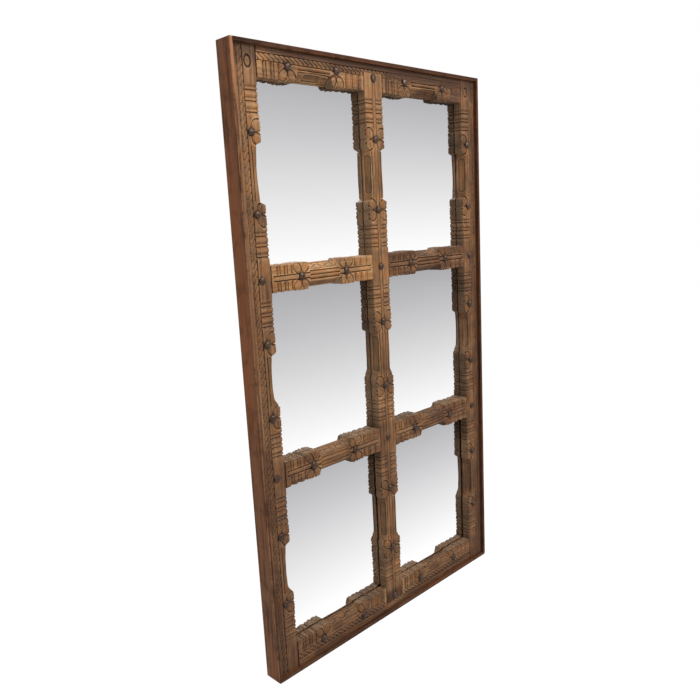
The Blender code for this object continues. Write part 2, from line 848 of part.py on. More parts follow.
def strap_outline():
    """A strap seen from its side, rolled over at the top into an open barrel for the ring.

    Its first axis runs up the strap and its second away from the panel. The barrel's middle is
    the origin, and the strap lies against the panel.
    """
    bore = RING_WIRE + RING_PLAY
    outside = bore + STRAP_THICKNESS
    mouth = math.acos((bore - STRAP_MOUTH) / outside)
    outer = []
    inner = []
    for i in range(ARC_STEPS + 1):
        turn = -math.pi / 2 + (math.tau - mouth - math.pi / ARC_STEPS) * i / ARC_STEPS
        outer.append(Vector((outside * math.cos(turn), outside * math.sin(turn))))
        inner.append(Vector((bore * math.cos(turn), bore * math.sin(turn))))
    foot = -STRAP_LENGTH
    strap = [Vector((foot, -bore)), Vector((foot, -outside))]
    return strap + outer + inner[::-1]


def ring_points():
    """A D-ring's centre line as (x, drop): a bar through the barrel, two corners and a round end."""
    half = STRAP_WIDTH / 2 + RING_SIDE_PLAY + RING_WIRE
    points = []
    corner = Vector((half - RING_CORNER, RING_CORNER))
    for i in range(CORNER_STEPS + 1):
        turn = -math.pi / 2 + math.pi / 2 * i / CORNER_STEPS
        points.append(corner + RING_CORNER * Vector((math.cos(turn), math.sin(turn))))
    crown = Vector((0, RING_REACH - half))
    for i in range(1, ARC_STEPS):
        turn = math.pi * i / ARC_STEPS
        points.append(crown + half * Vector((math.cos(turn), math.sin(turn))))
    return points + [Vector((-point.x, point.y)) for point in reversed(points[: CORNER_STEPS + 1])]


def make_strap(name, place, parts, finish):
    """Drawn in its side view, then stood up so that its width runs along X."""
    mesh = flat_mesh(name, [strap_outline()], STRAP_WIDTH, STRAP_WIDTH / 2)
    stand = Matrix(((0, 0, 1), (0, 1, 0), (1, 0, 0))).to_4x4()
    mirrored = Matrix.Diagonal((1, 1, -1, 1))
    mesh.transform(stand @ mirrored)
    bm = bmesh.new()
    bm.from_mesh(mesh)
    bmesh.ops.recalc_face_normals(bm, faces=bm.faces)
    bm.to_mesh(mesh)
    bm.free()
    return put(name, mesh, parts, place, finish)


def make_ring(name, place, parts, finish):
    """A wire ring hanging from its bar, with its origin on the hinge axis."""
    wire = bpy.data.curves.new(name, "CURVE")
    wire.dimensions = "3D"
    wire.bevel_depth = RING_WIRE
    wire.bevel_resolution = RING_SIDES // 2 - 2
    spline = wire.splines.new("POLY")
    points = ring_points()
    spline.points.add(len(points) - 1)
    for point, (x, drop) in zip(spline.points, points):
        point.co = (x, 0, -drop, 1)
    spline.use_cyclic_u = True
    ring = bpy.data.objects.new(name, wire)
    wire.materials.append(finish)
    parts.objects.link(ring)
    ring.matrix_world = place
    return ring


def make_hangers(parts, finish):
    """A strap hanger on the panel behind each stile, its ring hanging over the strap."""
    axis_y = PANEL_BACK + TOUCH + STRAP_THICKNESS + RING_WIRE + RING_PLAY
    axis_z = CASING_HEIGHT / 2 - HANGER_DROP
    for hand, word in ((-1, "left"), (1, "right")):
        place = Matrix.Translation((hand * (INNER_X - STILE_WIDTH / 2), axis_y, axis_z))
        make_strap(f"hanger_strap_{word}", place, parts, finish)
        make_ring(f"hanger_ring_{word}", place, parts, finish)


def main():
    clear_scene()
    parts = new_collection("panel_wall_mirror")
    cutters = new_collection("cutters")
    finish = make_materials()
    make_casing(parts, finish["casing"])
    make_uprights(parts, cutters, finish["teak"])
    make_end_rails(parts, cutters, finish["teak"])
    make_cross_rails(parts, cutters, finish["teak"])
    make_nails(parts, finish["iron"])
    make_panes(parts, finish["mirror"])
    make_back_panel(parts, finish["plywood"])
    make_hangers(parts, finish["zinc"])


main()
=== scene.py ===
"""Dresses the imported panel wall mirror: its carved lattice, forged nails, stained casing and panes.

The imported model's frame holds throughout: X to the right, Y into the wall, Z up. The carving is
worked out in millimetres, as it was measured, and becomes metres where its mesh is made.
"""

import math
from collections import namedtuple
from functools import reduce

import bmesh
import bpy
import numpy as np
from mathutils import Matrix, Vector


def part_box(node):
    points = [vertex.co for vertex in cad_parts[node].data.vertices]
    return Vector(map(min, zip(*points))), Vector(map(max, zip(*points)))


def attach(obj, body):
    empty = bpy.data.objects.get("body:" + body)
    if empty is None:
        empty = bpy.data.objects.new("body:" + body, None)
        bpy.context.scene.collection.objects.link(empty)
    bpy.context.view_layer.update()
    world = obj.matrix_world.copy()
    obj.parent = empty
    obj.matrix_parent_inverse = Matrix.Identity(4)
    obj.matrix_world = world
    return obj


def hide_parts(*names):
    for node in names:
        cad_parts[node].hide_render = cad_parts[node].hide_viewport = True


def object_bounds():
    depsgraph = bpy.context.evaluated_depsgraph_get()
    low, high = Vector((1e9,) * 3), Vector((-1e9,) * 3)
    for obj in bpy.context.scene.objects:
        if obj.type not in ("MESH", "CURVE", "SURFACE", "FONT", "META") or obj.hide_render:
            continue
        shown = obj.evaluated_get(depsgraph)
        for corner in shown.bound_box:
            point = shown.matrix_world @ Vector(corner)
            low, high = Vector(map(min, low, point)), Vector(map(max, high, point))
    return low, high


MM = 0.001
BODY = "mirror"
ROWS = ("top", "middle", "bottom")
SIDES = ("left", "right")

# Camera, solved from the photograph's corners: metres, degrees, and millimetres of lens
CAMERA_PLACE = (-1.6087, -1.5443, 0.4408)
CAMERA_TURN = (79.2046, 2.9089, -44.7231)
CAMERA_LENS = 35.505

# Light
AMBIENT = 0.6
KEY_PLACE = (0.9, -3.1, 2.9)
KEY_SIZE = 1.8
KEY_POWER = 165.0
FLOOR_DROP = 0.55
FLOOR_SIZE = 14.0
FLOOR_WHITE = 0.93
FLOOR_GLOW = 1.1
GLOW_SHARE = 0.85

# How the CAD model seats its panes and nails
PANE_SEAT = 10.0
UPRIGHT_NAIL_SHARE = 0.283
RAIL_NAIL_SHARE = 0.270

# Carved members, in millimetres: the face is at depth 0 and the glass at REVEAL
REVEAL = 28.6
MEMBER_DEPTH = 33.9
REBATE = 11.0
BACK_CUT = 3.0
ARRIS = 3.0
ARRIS_WANDER = 1.2
ARRIS_REACH = 33.0
PLAIN_ARRIS = 1.2
EDGE_WANDER = 0.45
EDGE_REACH = 26.0
LAP_CUT = 13.0
LAP_PLAY = 0.4
RAIL_GAP = 0.3

# How finely a member's surface is divided, in millimetres along it and in rows across it
SIDE_ROWS = 17
ARRIS_ROWS = 4
COLUMN_STEP = 1.3
FLOWER_STEP = 1.3
CENTRE_STEP = 1.8
JOINT_STEP = 2.2
LEAST_STEP = 0.45
EDGE_ROW_OFFSETS = (0.0, 0.5, 4.0, 8.0)
FLUTE_ROW_OFFSETS = (0.0, 0.9, 1.7, 2.4, 3.1, 3.7, 4.4, 5.2, 6.2, 7.3, 8.5, 9.7, 11.4, 13.8)
NOISE_CELLS = 64

# Flutes: a thin bead between two narrow grooves, with broad rounded beads between the groups
THIN_BEAD_HALF = 2.2
THIN_BEAD_DROP = 0.3
THIN_BEAD_ROUND = 0.9
GROOVE_CENTRE = 4.1
GROOVE_HALF = 2.4
GROOVE_DEPTH = 5.6
UPPER_GROOVE_SHARE = 0.55
SINGLE_GROOVE_HALF = 3.0
SINGLE_BEAD_START = 1.6
SINGLE_BEAD_HALF = 11.4
SLIM_GROOVE_PLACE = 8.5
SLIM_GROOVE_HALF = 2.2
SLIM_GROOVE_DEPTH = 3.6
BROAD_BEAD_START = 5.4
BROAD_BEAD_DROP = 3.4
BROAD_BEAD_HALF = 8.4
FLUTE_END = 1.6
SLIM_GROOVE_LAST = 4.0
# Between which distances before the first flute and after the last one the flutes fade
FLUTES_START = (14.0, 9.0)
FLUTES_END = (8.0, 13.0)

# Flowers: four round petals in an X round each nail
Petal = namedtuple("Petal", "reach_s reach_t half_length half_width")
DISC_PETAL = Petal(17.0, 24.0, 16.2, 13.2)
OVAL_PETAL = Petal(14.5, 25.0, 14.8, 10.6)
SEPAL = Petal(14.0, 9.0, 7.5, 4.2)
SEPAL_RING_SHARE = 0.7
SEPAL_DOME_SHARE = 0.5
PETAL_TAPER_SHARE = 0.08
PETAL_DOME = 2.9
PETAL_DOME_POWER = 2.6
PETAL_CREST = 0.7
PETAL_GROOVE = 3.8
PETAL_GROOVE_DEPTH = 5.8
FLOWER_TO_CENTRE = 4.0
FLOWER_ON_SIDE = (11.0, 2.0)
LOBE_HALF = 15.0
LOBE_PROUD = 1.9
LOBE_NOTCH = 3.6
LOBE_NOTCH_HALF = 5.5

# How far each carved stretch takes to narrow, at its low and its high end, for the openings in turn
UPRIGHT_RAMPS = ((28.0, 14.0), (34.0, 15.0), (10.0, 10.0))
RAIL_RAMPS = ((12.0, 12.0), (12.0, 12.0))
RAMP_LEAD = 10.0

# Sizes along an opening's side from its end, then how far the side is cut back, arched and trimmed
Style = namedtuple(
    "Style",
    "flutes thin_beads flower_start flower_end front_cut arch trim ramps flute_stop nail_share petal",
)
UPRIGHT = Style(
    (29.0, 56.5, 84.5), True, 101.0, 171.0, 15.0, 0.0, 0.0, UPRIGHT_RAMPS, 6.5,
    UPRIGHT_NAIL_SHARE, DISC_PETAL,
)
STILE = UPRIGHT._replace(front_cut=20.0, arch=4.5, trim=2.4, flute_stop=-5.0)
RAIL = Style(
    (22.0, 48.0, 74.0), False, 79.0, 138.0, 21.0, 0.0, 0.0, RAIL_RAMPS, 8.6,
    RAIL_NAIL_SHARE, OVAL_PETAL,
)
TOP_RAIL = RAIL._replace(front_cut=28.0, flute_stop=-3.4)
BOTTOM_RAIL = RAIL._replace(front_cut=23.5, flute_stop=-3.4)

# Borders of the outer members: where the rope's middle is, which way it leans and how deep it is left
Border = namedtuple("Border", "centre lean depth")
STILE_LEFT_BORDER = Border(15.6, 1.0, 0.6)
STILE_RIGHT_BORDER = Border(15.6, 1.0, 0.3)
TOP_BORDER = Border(14.0, 1.0, 0.9)
BOTTOM_BORDER = Border(12.2, -1.0, 0.8)
ROPE_HALF = 9.0
ROPE_PITCH_UPRIGHT = 20.0
ROPE_PITCH_RAIL = 17.0
ROPE_ROUND = 1.7
ROPE_CUT = 2.6
ROPE_RIM = 2.0
ROPE_SWAY_REACH = 60.0
# Shares of the rope's pitch: how its strands slant, curl and sway, and where the gaps between them lie
ROPE_SLANT_SHARE = 0.42
ROPE_CURL_SHARE = 0.16
ROPE_SWAY_SHARE = 0.12
ROPE_GAP_SHARES = (0.45, 0.95)
# Shares of the rope's half width: how far it counts, and the place and half width of the groove beside it
ROPE_SPAN_SHARE = 1.15
ROPE_RIM_PLACE_SHARE = 1.08
ROPE_RIM_HALF_SHARE = 0.14
ROPE_RIM_LEAST_SHARE = 0.4

# How far the nails of the rails stand from their even places, across and up
NAIL_SHIFTS = {
    "top_rail": ((-5.0, -2.0), (-7.0, 4.5), (-3.0, 1.0), (5.0, -1.0)),
    "cross_rail_upper_left": ((0.0, 0.5), (-6.0, -0.5)),
    "cross_rail_upper_right": ((-1.5, -0.5), (1.0, 0.5)),
    "cross_rail_lower_left": ((0.0, -1.5), (-7.0, -1.5)),
    "cross_rail_lower_right": ((-7.0, -1.5), (4.5, -1.5)),
    "bottom_rail": ((-3.0, 1.2), (-5.0, -4.5), (-7.0, 6.0), (6.0, 6.0)),
}

# The oval dent a lost nail left at the top of each stile
DENT_DROP = 41.5
DENT_REACH = 10.0
DENT_HALF_LENGTH = 15.0
DENT_HALF_WIDTH = 10.0
DENT_RIM = 4.2
DENT_SINK = 2.2

# Wear: how deep each kind of unevenness is
WAVES = ((0.35, 55.0, 21.0), (0.16, 9.0, 6.0), (0.10, 30.0, 2.2))
FIBRE_DEPTH = 1.3
FIBRE_REACHES = (26.0, 2.0)
WORN_DEPTH_SHARE = 0.4
LOWER_CRISP_SHARE = 0.62
UPPER_RIGHT_CRISP_SHARE = 0.8
TOP_RAIL_LOSS_SHARE = 0.55
TOP_RAIL_PLACE_SHARES = (0.52, 0.66)
BORDER_ROUGH_SHARE = 0.55
BORDER_ROUGH_FROM = (20.0, 25.0)
WEAR_BLUR = 8
WEAR_DEPTH = 1.6

# Grooves that run along a member: where they lie across it, half their width and their depth
Reeds = namedtuple("Reeds", "lines half depth")
MULLION_FLOWER_REEDS = Reeds((-6.0, 6.0), 1.9, 2.6)
MULLION_EDGE_REEDS = Reeds((-19.0, 19.0), 2.6, 4.6)
MULLION_CENTRE_REEDS = Reeds((-7.0, 7.0), 2.0, 2.4)
CROSS_FLOWER_REEDS = Reeds((-7.2, 7.2), 2.6, 5.2)
CROSS_CENTRE_REEDS = Reeds((-11.6, 0.0, 11.6), 2.8, 5.6)
STILE_REEDS = Reeds((5.8,), 2.2, 3.2)
STILE_CENTRE_REEDS = Reeds((5.8, -4.0), 2.2, 3.4)
RAIL_CENTRE_REEDS = Reeds((4.8, -6.4), 2.6, 5.0)

# Rounded beads that run along a rail
CROSS_BEAD_HALF = 5.4
CROSS_BEAD_DROP = 2.6
CROSS_BEAD_CREST = 0.6
CROSS_BEAD_REACH = 6.4
CROSS_BEAD_ENDS = (6.0, 9.0)
BOLD_BEAD_HALF = 5.6
BOLD_BEAD_DROP = 3.4
RIDGE_CENTRE = 0.2
RIDGE_HALF = 4.6
RIDGE_DROP = 2.8

# Panels on a slanting side: start and end as a share of the stretch and millimetres past it, the heights over
# the glass, how deep the panel and the line round it are, and whether its ends are arched
Panel = namedtuple("Panel", "start end low high sink rim arch")
UPRIGHT_PANELS = (Panel((0.0, 18.0), (1.0, -14.0), 8.0, 24.5, 1.9, 3.4, True),)
RAIL_PANELS = (Panel((0.0, 10.0), (1.0, -10.0), 7.0, 23.0, 1.6, 3.2, False),)
TOP_RAIL_PANELS = (
    Panel((0.02, 0.0), (0.98, 0.0), 2.0, 27.0, 0.0, 3.0, False),
    Panel((0.24, 0.0), (0.68, 0.0), 7.0, 22.0, 2.6, 4.4, False),
    Panel((0.72, 0.0), (0.97, 0.0), 2.5, 26.0, -1.0, 4.2, False),
)
PANEL_CORNER = 2.5
PANEL_RIM_HALF = 2.2
PANEL_SLOPE = (-3.4, -1.2)
SCROLL_END = 4.0
SCROLL_HEIGHTS = (4.0, 26.0)
SCROLL_TURNS = 2.5
SCROLL_WIND = 5.0
SCROLL_STEM_HALF = 3.0
SCROLL_LINE_HALF = 2.4
SCROLL_GAP_SHARES = (0.7, 0.95)
SCROLL_LEAF_SHARE = 0.7
SCROLL_FADE_SHARE = 0.03
SCROLL_DEPTH = 3.4
SCROLL_LINE_DEPTH = 3.0

# Where the carving makes room for a nail
NAIL_SEAT_FADE = (6.0, 12.0)
NAIL_SEAT_HALF = 9.0
NAIL_SEAT_DEPTH = 0.5

Member = namedtuple(
    "Member", "name along place length low high open_low open_high openings style border nail_t seed"
)


# Numbers


def smoothstep(value, low, high):
    share = np.clip((value - low) / (high - low), 0.0, 1.0)
    return share * share * (3.0 - 2.0 * share)


def groove(value, centre, half):
    """1 on the centre line of a groove and 0 past its half width, with a rounded floor."""
    share = np.clip(np.abs(value - centre) / half, 0.0, 1.0)
    return 0.5 + 0.5 * np.cos(np.pi * share)


def bead(away, half, drop, reach):
    """How far a rounded bead falls away from its crest."""
    return drop * np.clip(np.abs(away) / half, 0, 1) ** 2 * (np.abs(away) < reach)


def deepest(*cuts):
    return reduce(np.maximum, cuts)


def wander(s, t, reach_s, reach_t, seed):
    """Smooth random values from -1 to 1 over s and t, that change over these two reaches."""
    lattice = np.random.default_rng(seed).uniform(-1.0, 1.0, (NOISE_CELLS, NOISE_CELLS))
    u, v = np.broadcast_arrays(s / reach_s + seed * 0.37, t / reach_t + seed * 0.61)
    iu = np.floor(u).astype(int)
    iv = np.floor(v).astype(int)
    fu = smoothstep(u - iu, 0.0, 1.0)
    fv = smoothstep(v - iv, 0.0, 1.0)
    a, b, c, d = (
        lattice[(iu + du) % NOISE_CELLS, (iv + dv) % NOISE_CELLS] for dv in (0, 1) for du in (0, 1)
    )
    return (a * (1 - fu) + b * fu) * (1 - fv) + (c * (1 - fu) + d * fu) * fv


def blurred(field, reach):
    """A field smoothed over its rows and columns."""
    for _ in range(reach):
        padded = np.pad(field, ((1, 1), (0, 0)), mode="edge")
        field = (padded[:-2] + 2 * padded[1:-1] + padded[2:]) / 4
        padded = np.pad(field, ((0, 0), (1, 1)), mode="edge")
        field = (padded[:, :-2] + 2 * padded[:, 1:-1] + padded[:, 2:]) / 4
    return field


# Places along a member


def inset(s, opening):
    """How far a place lies from the nearer end of an opening."""
    return np.minimum(s - opening[0], opening[1] - s)


def nail_places(member, opening):
    """Where along a member the two flowers of an opening have their nails."""
    reach = member.style.nail_share * (opening[1] - opening[0])
    even = (opening[0] + reach, opening[1] - reach)
    shifts = NAIL_SHIFTS.get(member.name)
    if shifts is None:
        return even
    first = 2 * member.openings.index(opening)
    return tuple(place + shifts[first + i][0] for i, place in enumerate(even))


def all_nails(member):
    return [place for opening in member.openings for place in nail_places(member, opening)]


def outer_side(member, t):
    """The distance from a border member's middle line toward the casing."""
    return t * (-1 if member.open_high else 1)


def spread(low, high, step):
    return np.linspace(low, high, max(2, int(round((high - low) / step)) + 1))


def stations(member):
    """The places along a member where it has a section, closest together where it is carved."""
    style = member.style
    places = [np.array([0.0, member.length])]
    ends = [0.0]
    for opening in member.openings:
        ends += list(opening)
        length = opening[1] - opening[0]
        offsets = np.array(FLUTE_ROW_OFFSETS)
        rows = [np.array(EDGE_ROW_OFFSETS)]
        for centre in style.flutes:
            rows += [centre - offsets, centre + offsets]
        rows = np.concatenate(rows)
        rows = rows[(rows >= 0) & (rows < style.flower_start - 1)]
        flower = spread(style.flower_start, style.flower_end + 4.0, FLOWER_STEP)
        centre = spread(style.flower_end + 5.5, length / 2, CENTRE_STEP)
        half = np.concatenate([rows, flower, centre])
        places += [opening[0] + half, opening[1] - half]
    ends.append(member.length)
    for low, high in zip(ends[::2], ends[1::2]):
        if high - low > JOINT_STEP:
            places.append(spread(low, high, JOINT_STEP)[1:-1])
    s = np.unique(np.round(np.concatenate(places), 2))
    keep = [0]
    for i in range(1, len(s)):
        if s[i] - s[keep[-1]] > LEAST_STEP:
            keep.append(i)
    keep[-1] = len(s) - 1
    return s[keep]


def cut_share(style, s, opening, ramps):
    """1 where an opening's sides are cut back between the flowers, 0 elsewhere."""
    start = style.flower_end - RAMP_LEAD
    low = smoothstep(s - opening[0], start, start + ramps[0])
    high = smoothstep(opening[1] - s, start, start + ramps[1])
    return low * high


def edge_line(member, s, outward):
    """How far the edge of an open side stands out past its plain line, at the face and at the glass."""
    style = member.style
    front = np.full_like(s, -style.trim)
    back = np.zeros_like(s)
    for opening, ramps in zip(member.openings, style.ramps):
        cut = cut_share(style, s, opening, ramps)
        plain = opening[1] - opening[0] - 2 * style.flower_end
        middle = np.clip((s - opening[0] - style.flower_end) / plain, 0, 1)
        front -= (style.front_cut - style.trim + style.arch * np.sin(np.pi * middle)) * cut
        back -= BACK_CUT * smoothstep(cut, 0.0, 0.6)
        for nail in nail_places(member, opening):
            away = np.abs(s - nail)
            lobe = np.sqrt(np.clip(1.0 - ((away - style.petal.reach_s) / LOBE_HALF) ** 2, 0.0, 1.0))
            notch = np.clip(1.0 - away / LOBE_NOTCH_HALF, 0.0, 1.0)
            shape = LOBE_PROUD * lobe * (1 - cut) - LOBE_NOTCH * notch
            front += shape
            back += shape * 0.5
    rough = EDGE_WANDER * wander(s, s * 0, EDGE_REACH, 1.0, member.seed + outward + 5)
    return front + rough, back + 0.5 * rough


# Sections across a member


def side_points(front, back, edge, rounding, outward):
    """One side of the section from the glass up to the face, as (t, depth) rows, with its share of face."""
    top = np.stack([edge + outward * front, np.zeros_like(front)], axis=-1)
    foot = np.stack([edge + outward * back, np.full_like(front, REVEAL)], axis=-1)
    down = foot - top
    down /= np.linalg.norm(down, axis=-1, keepdims=True)
    inward = np.array([-outward, 0.0])
    start = top + down * rounding[:, None]
    end = top + inward * rounding[:, None]
    points = [foot + (start - foot) * k / SIDE_ROWS for k in range(SIDE_ROWS)]
    shares = [0.0] * SIDE_ROWS
    for k in range(ARRIS_ROWS):
        w = k / (ARRIS_ROWS - 1)
        points.append((1 - w) ** 2 * start + 2 * w * (1 - w) * top + w**2 * end)
        shares.append(w)
    return points, shares


def section(member, s):
    """The member's bare section at each station: points (n, m, 2), and each column's share of face."""
    low_points, low_shares = open_or_plain(member, s, member.low, -1, member.open_low)
    high_points, high_shares = open_or_plain(member, s, member.high, 1, member.open_high)
    across = int(round((member.high - member.low) / COLUMN_STEP))
    left = low_points[-1]
    right = high_points[-1]
    middle = [left + (right - left) * k / across for k in range(1, across)]
    points = np.stack(low_points + middle + high_points[::-1], axis=1)
    shares = np.array(low_shares + [1.0] * len(middle) + high_shares[::-1])
    return points, shares


def open_or_plain(member, s, edge, outward, is_open):
    if is_open:
        front, back = edge_line(member, s, outward)
        seed = member.seed + outward + 11
        rounding = ARRIS + ARRIS_WANDER * wander(s, s * 0, ARRIS_REACH, 1.0, seed)
    else:
        front = back = np.zeros_like(s)
        rounding = np.full_like(s, PLAIN_ARRIS)
    return side_points(front, back, edge, rounding, outward)


def outward_normals(points):
    tangent = np.gradient(points, axis=1)
    tangent /= np.linalg.norm(tangent, axis=-1, keepdims=True) + 1e-9
    return np.stack([tangent[..., 1], -tangent[..., 0]], axis=-1)


# Carving: each function gives how deep the surface is cut below the bare section


def flute_depth(member, s):
    style = member.style
    depth = np.zeros_like(s)
    for opening in member.openings:
        q = inset(s, opening)
        lines = [opening[0] + place for place in style.flutes]
        lines += [opening[1] - place for place in style.flutes]
        offsets = np.array([s - line for line in lines])
        closest = np.abs(offsets).argmin(axis=0)
        offset = np.take_along_axis(offsets, closest[None], axis=0)[0]
        nearest = np.abs(offset)
        if style.thin_beads:
            thin = THIN_BEAD_DROP + THIN_BEAD_ROUND * np.clip(nearest / THIN_BEAD_HALF, 0, 1) ** 2
            line = GROOVE_DEPTH * groove(nearest, GROOVE_CENTRE, GROOVE_HALF)
            line = line * np.where(offset > 0, UPPER_GROOVE_SHARE, 1.0)
            rise = np.clip((nearest - BROAD_BEAD_START) / BROAD_BEAD_HALF, 0, 1)
            broad = BROAD_BEAD_DROP * (1 - rise) ** 2
            shape = np.maximum(np.where(nearest < GROOVE_CENTRE, thin, broad), line)
        else:
            line = GROOVE_DEPTH * groove(nearest, 0.0, SINGLE_GROOVE_HALF)
            rise = np.clip((nearest - SINGLE_BEAD_START) / SINGLE_BEAD_HALF, 0, 1)
            broad = BROAD_BEAD_DROP * (1 - rise) ** 2
            inward = offset * np.where(closest < len(style.flutes), 1.0, -1.0)
            slim = SLIM_GROOVE_DEPTH * groove(inward, SLIM_GROOVE_PLACE, SLIM_GROOVE_HALF)
            shape = deepest(line, broad, slim * (q < style.flutes[-1] + SLIM_GROOVE_LAST))
        past_start = smoothstep(q, *(style.flutes[0] - before for before in FLUTES_START))
        past_end = smoothstep(q, *(style.flutes[-1] + after for after in FLUTES_END))
        depth += shape * (past_start * (1 - past_end))
    return depth


def leaf(s, t, nail_s, petal, toward):
    """The dome of one petal and the groove round it; toward is (+-1, +-1) along s and t."""
    centre = math.hypot(petal.reach_s, petal.reach_t)
    along = np.array([toward[0] * petal.reach_s, toward[1] * petal.reach_t]) / centre
    ds = s - nail_s - along[0] * centre
    dt = t - along[1] * centre
    a = ds * along[0] + dt * along[1]
    b = -ds * along[1] + dt * along[0]
    width = petal.half_width * (1.0 + PETAL_TAPER_SHARE * a / petal.half_length)
    e = np.sqrt((a / petal.half_length) ** 2 + (b / np.maximum(width, 1.0)) ** 2)
    outside = (e - 1.0) * petal.half_width
    dome = np.where(e < 1.0, PETAL_DOME * e**PETAL_DOME_POWER - PETAL_CREST, 0.0)
    ring = PETAL_GROOVE_DEPTH * groove(outside, PETAL_GROOVE / 2, PETAL_GROOVE / 2)
    return dome, ring, e


def flower_depth(member, s, t):
    depth = np.zeros(np.broadcast(s, t).shape)
    hands = [hand for hand, is_open in ((-1, member.open_low), (1, member.open_high)) if is_open]
    leaves = [(hand, member.style.petal, 1.0, 1.0) for hand in hands]
    if len(hands) == 1 and member.along == "x":
        leaves.insert(0, (-hands[0], SEPAL, SEPAL_RING_SHARE, SEPAL_DOME_SHARE))
    for nail in all_nails(member):
        for toward_t, petal, ring_share, dome_share in leaves:
            for toward_s in (-1, 1):
                dome, ring, e = leaf(s, t, nail, petal, (toward_s, toward_t))
                depth = np.maximum(depth, ring * ring_share)
                depth = np.where(e < 1.0, dome * dome_share, depth)
    return depth


def centre_share(member, s):
    """1 in the plainer stretches between two flowers, 0 elsewhere."""
    share = np.zeros_like(s)
    for opening in member.openings:
        end = member.style.flower_end
        share += smoothstep(inset(s, opening), end, end + FLOWER_TO_CENTRE)
    return share


def reeds(t, rows):
    return deepest(np.zeros_like(t), *(rows.depth * groove(t, line, rows.half) for line in rows.lines))


def rope_depth(s, t, border, pitch, worn, seed):
    """A border of slanting strands between two fine grooves."""
    v = (t - border.centre) / ROPE_HALF
    inside = (np.abs(v) < ROPE_SPAN_SHARE).astype(float)
    swell = ROPE_ROUND * np.clip(np.abs(v), 0, 1) ** 2.5
    sway = ROPE_SWAY_SHARE * wander(s, t * 0, ROPE_SWAY_REACH, 1.0, seed)
    curl = ROPE_CURL_SHARE * np.sin(np.pi * v)
    phase = s / pitch + border.lean * (ROPE_SLANT_SHARE * v + curl) + sway
    strand = np.abs((phase % 1.0) - 0.5) * 2.0
    cut = ROPE_CUT * smoothstep(strand, *ROPE_GAP_SHARES)
    rim = ROPE_RIM * groove(np.abs(v), ROPE_RIM_PLACE_SHARE, ROPE_RIM_HALF_SHARE)
    left = ROPE_RIM_LEAST_SHARE + (1 - ROPE_RIM_LEAST_SHARE) * worn
    return inside * (worn * (swell + cut) + rim * left)


def panel_depth(s, t, low, span, panel):
    """A sunk panel with a line round it, on a stretch that starts at low."""
    s_low, s_high = (low + share * span + past for share, past in (panel.start, panel.end))
    away_s = np.abs(s - (s_low + s_high) / 2)
    away_t = np.abs(t - (panel.low + panel.high) / 2)
    half_s = (s_high - s_low) / 2
    half_t = (panel.high - panel.low) / 2
    corner = half_t if panel.arch else min(PANEL_CORNER, half_t)
    ds = np.clip(away_s - (half_s - corner), 0, None)
    dt = np.clip(away_t - (half_t - corner), 0, None)
    if panel.arch:
        distance = np.where(ds > 0, np.hypot(ds, away_t) - corner, away_t - half_t)
    else:
        inner = np.maximum(away_s - half_s, away_t - half_t)
        distance = np.where((ds > 0) & (dt > 0), np.hypot(ds, dt) - corner, inner)
    line = panel.rim * groove(distance, 0.0, PANEL_RIM_HALF)
    return line + panel.sink * (1 - smoothstep(distance, *PANEL_SLOPE))


def face_depth(member, s, t):
    """Everything that is carved into a member's face."""
    style = member.style
    centre = centre_share(member, s)
    lines = flute_depth(member, s)
    across = t if member.open_high else -t
    if member.open_low and member.open_high:
        across = np.abs(t)
    reach = smoothstep(across, style.flute_stop, style.flute_stop + FLUTE_END)
    flower = flower_depth(member, s, t) * (1 - centre)
    if member.border is not None:
        rope_edge = member.border.centre - ROPE_HALF
        flower = flower * (1 - smoothstep(outer_side(member, t), rope_edge - 1.5, rope_edge))
    depth = np.maximum(lines * reach, flower)
    depth = depth * (WORN_DEPTH_SHARE + (1 - WORN_DEPTH_SHARE) * crispness(member, s))
    if member.border is not None:
        depth = np.maximum(depth, border_lines(member, s, t, centre))
    elif member.along == "z":
        middle = np.maximum(reeds(t, MULLION_EDGE_REEDS), reeds(t, MULLION_CENTRE_REEDS))
        depth = deepest(depth, (1 - centre) * reeds(t, MULLION_FLOWER_REEDS), centre * middle)
    else:
        depth = np.maximum(depth, cross_rail_lines(member, s, t, centre))
    return np.maximum(depth, dent_depth(member, s, t))


def dent_depth(member, s, t):
    if member.along == "x" or member.border is None:
        return np.zeros_like(t)
    hand = 1 if member.open_high else -1
    away = np.hypot(
        (s - member.length + DENT_DROP) / DENT_HALF_LENGTH, (t - hand * DENT_REACH) / DENT_HALF_WIDTH
    )
    return DENT_RIM * groove(away, 1.0, 0.3) + DENT_SINK * np.clip(away, 0, 1) ** 3 * (away < 1.0)


def cross_rail_lines(member, s, t, centre):
    """A bead along the axis out to each flower, and two bold reeds between the flowers."""
    ends = smoothstep(np.minimum(s, member.length - s), *CROSS_BEAD_ENDS)
    single = bead(t, CROSS_BEAD_HALF, CROSS_BEAD_DROP, CROSS_BEAD_REACH)
    single = single - CROSS_BEAD_CREST * (np.abs(t) < CROSS_BEAD_HALF)
    outer = ends * np.maximum(single, reeds(t, CROSS_FLOWER_REEDS))
    double = bead(np.abs(t) - BOLD_BEAD_HALF, BOLD_BEAD_HALF, BOLD_BEAD_DROP, BOLD_BEAD_HALF)
    bold = np.maximum(double, reeds(t, CROSS_CENTRE_REEDS))
    return (1 - centre) * outer + centre * bold * crispness(member, s)


def crispness(member, s):
    """The share of the carving's depth that is left: the lower rails and the right side are worn most."""
    if "lower" in member.name or member.name == "bottom_rail":
        return LOWER_CRISP_SHARE + 0 * s
    if member.name == "top_rail":
        return 1.0 - TOP_RAIL_LOSS_SHARE * smoothstep(s / member.length, *TOP_RAIL_PLACE_SHARES)
    return (UPPER_RIGHT_CRISP_SHARE if member.name == "cross_rail_upper_right" else 1.0) + 0 * s


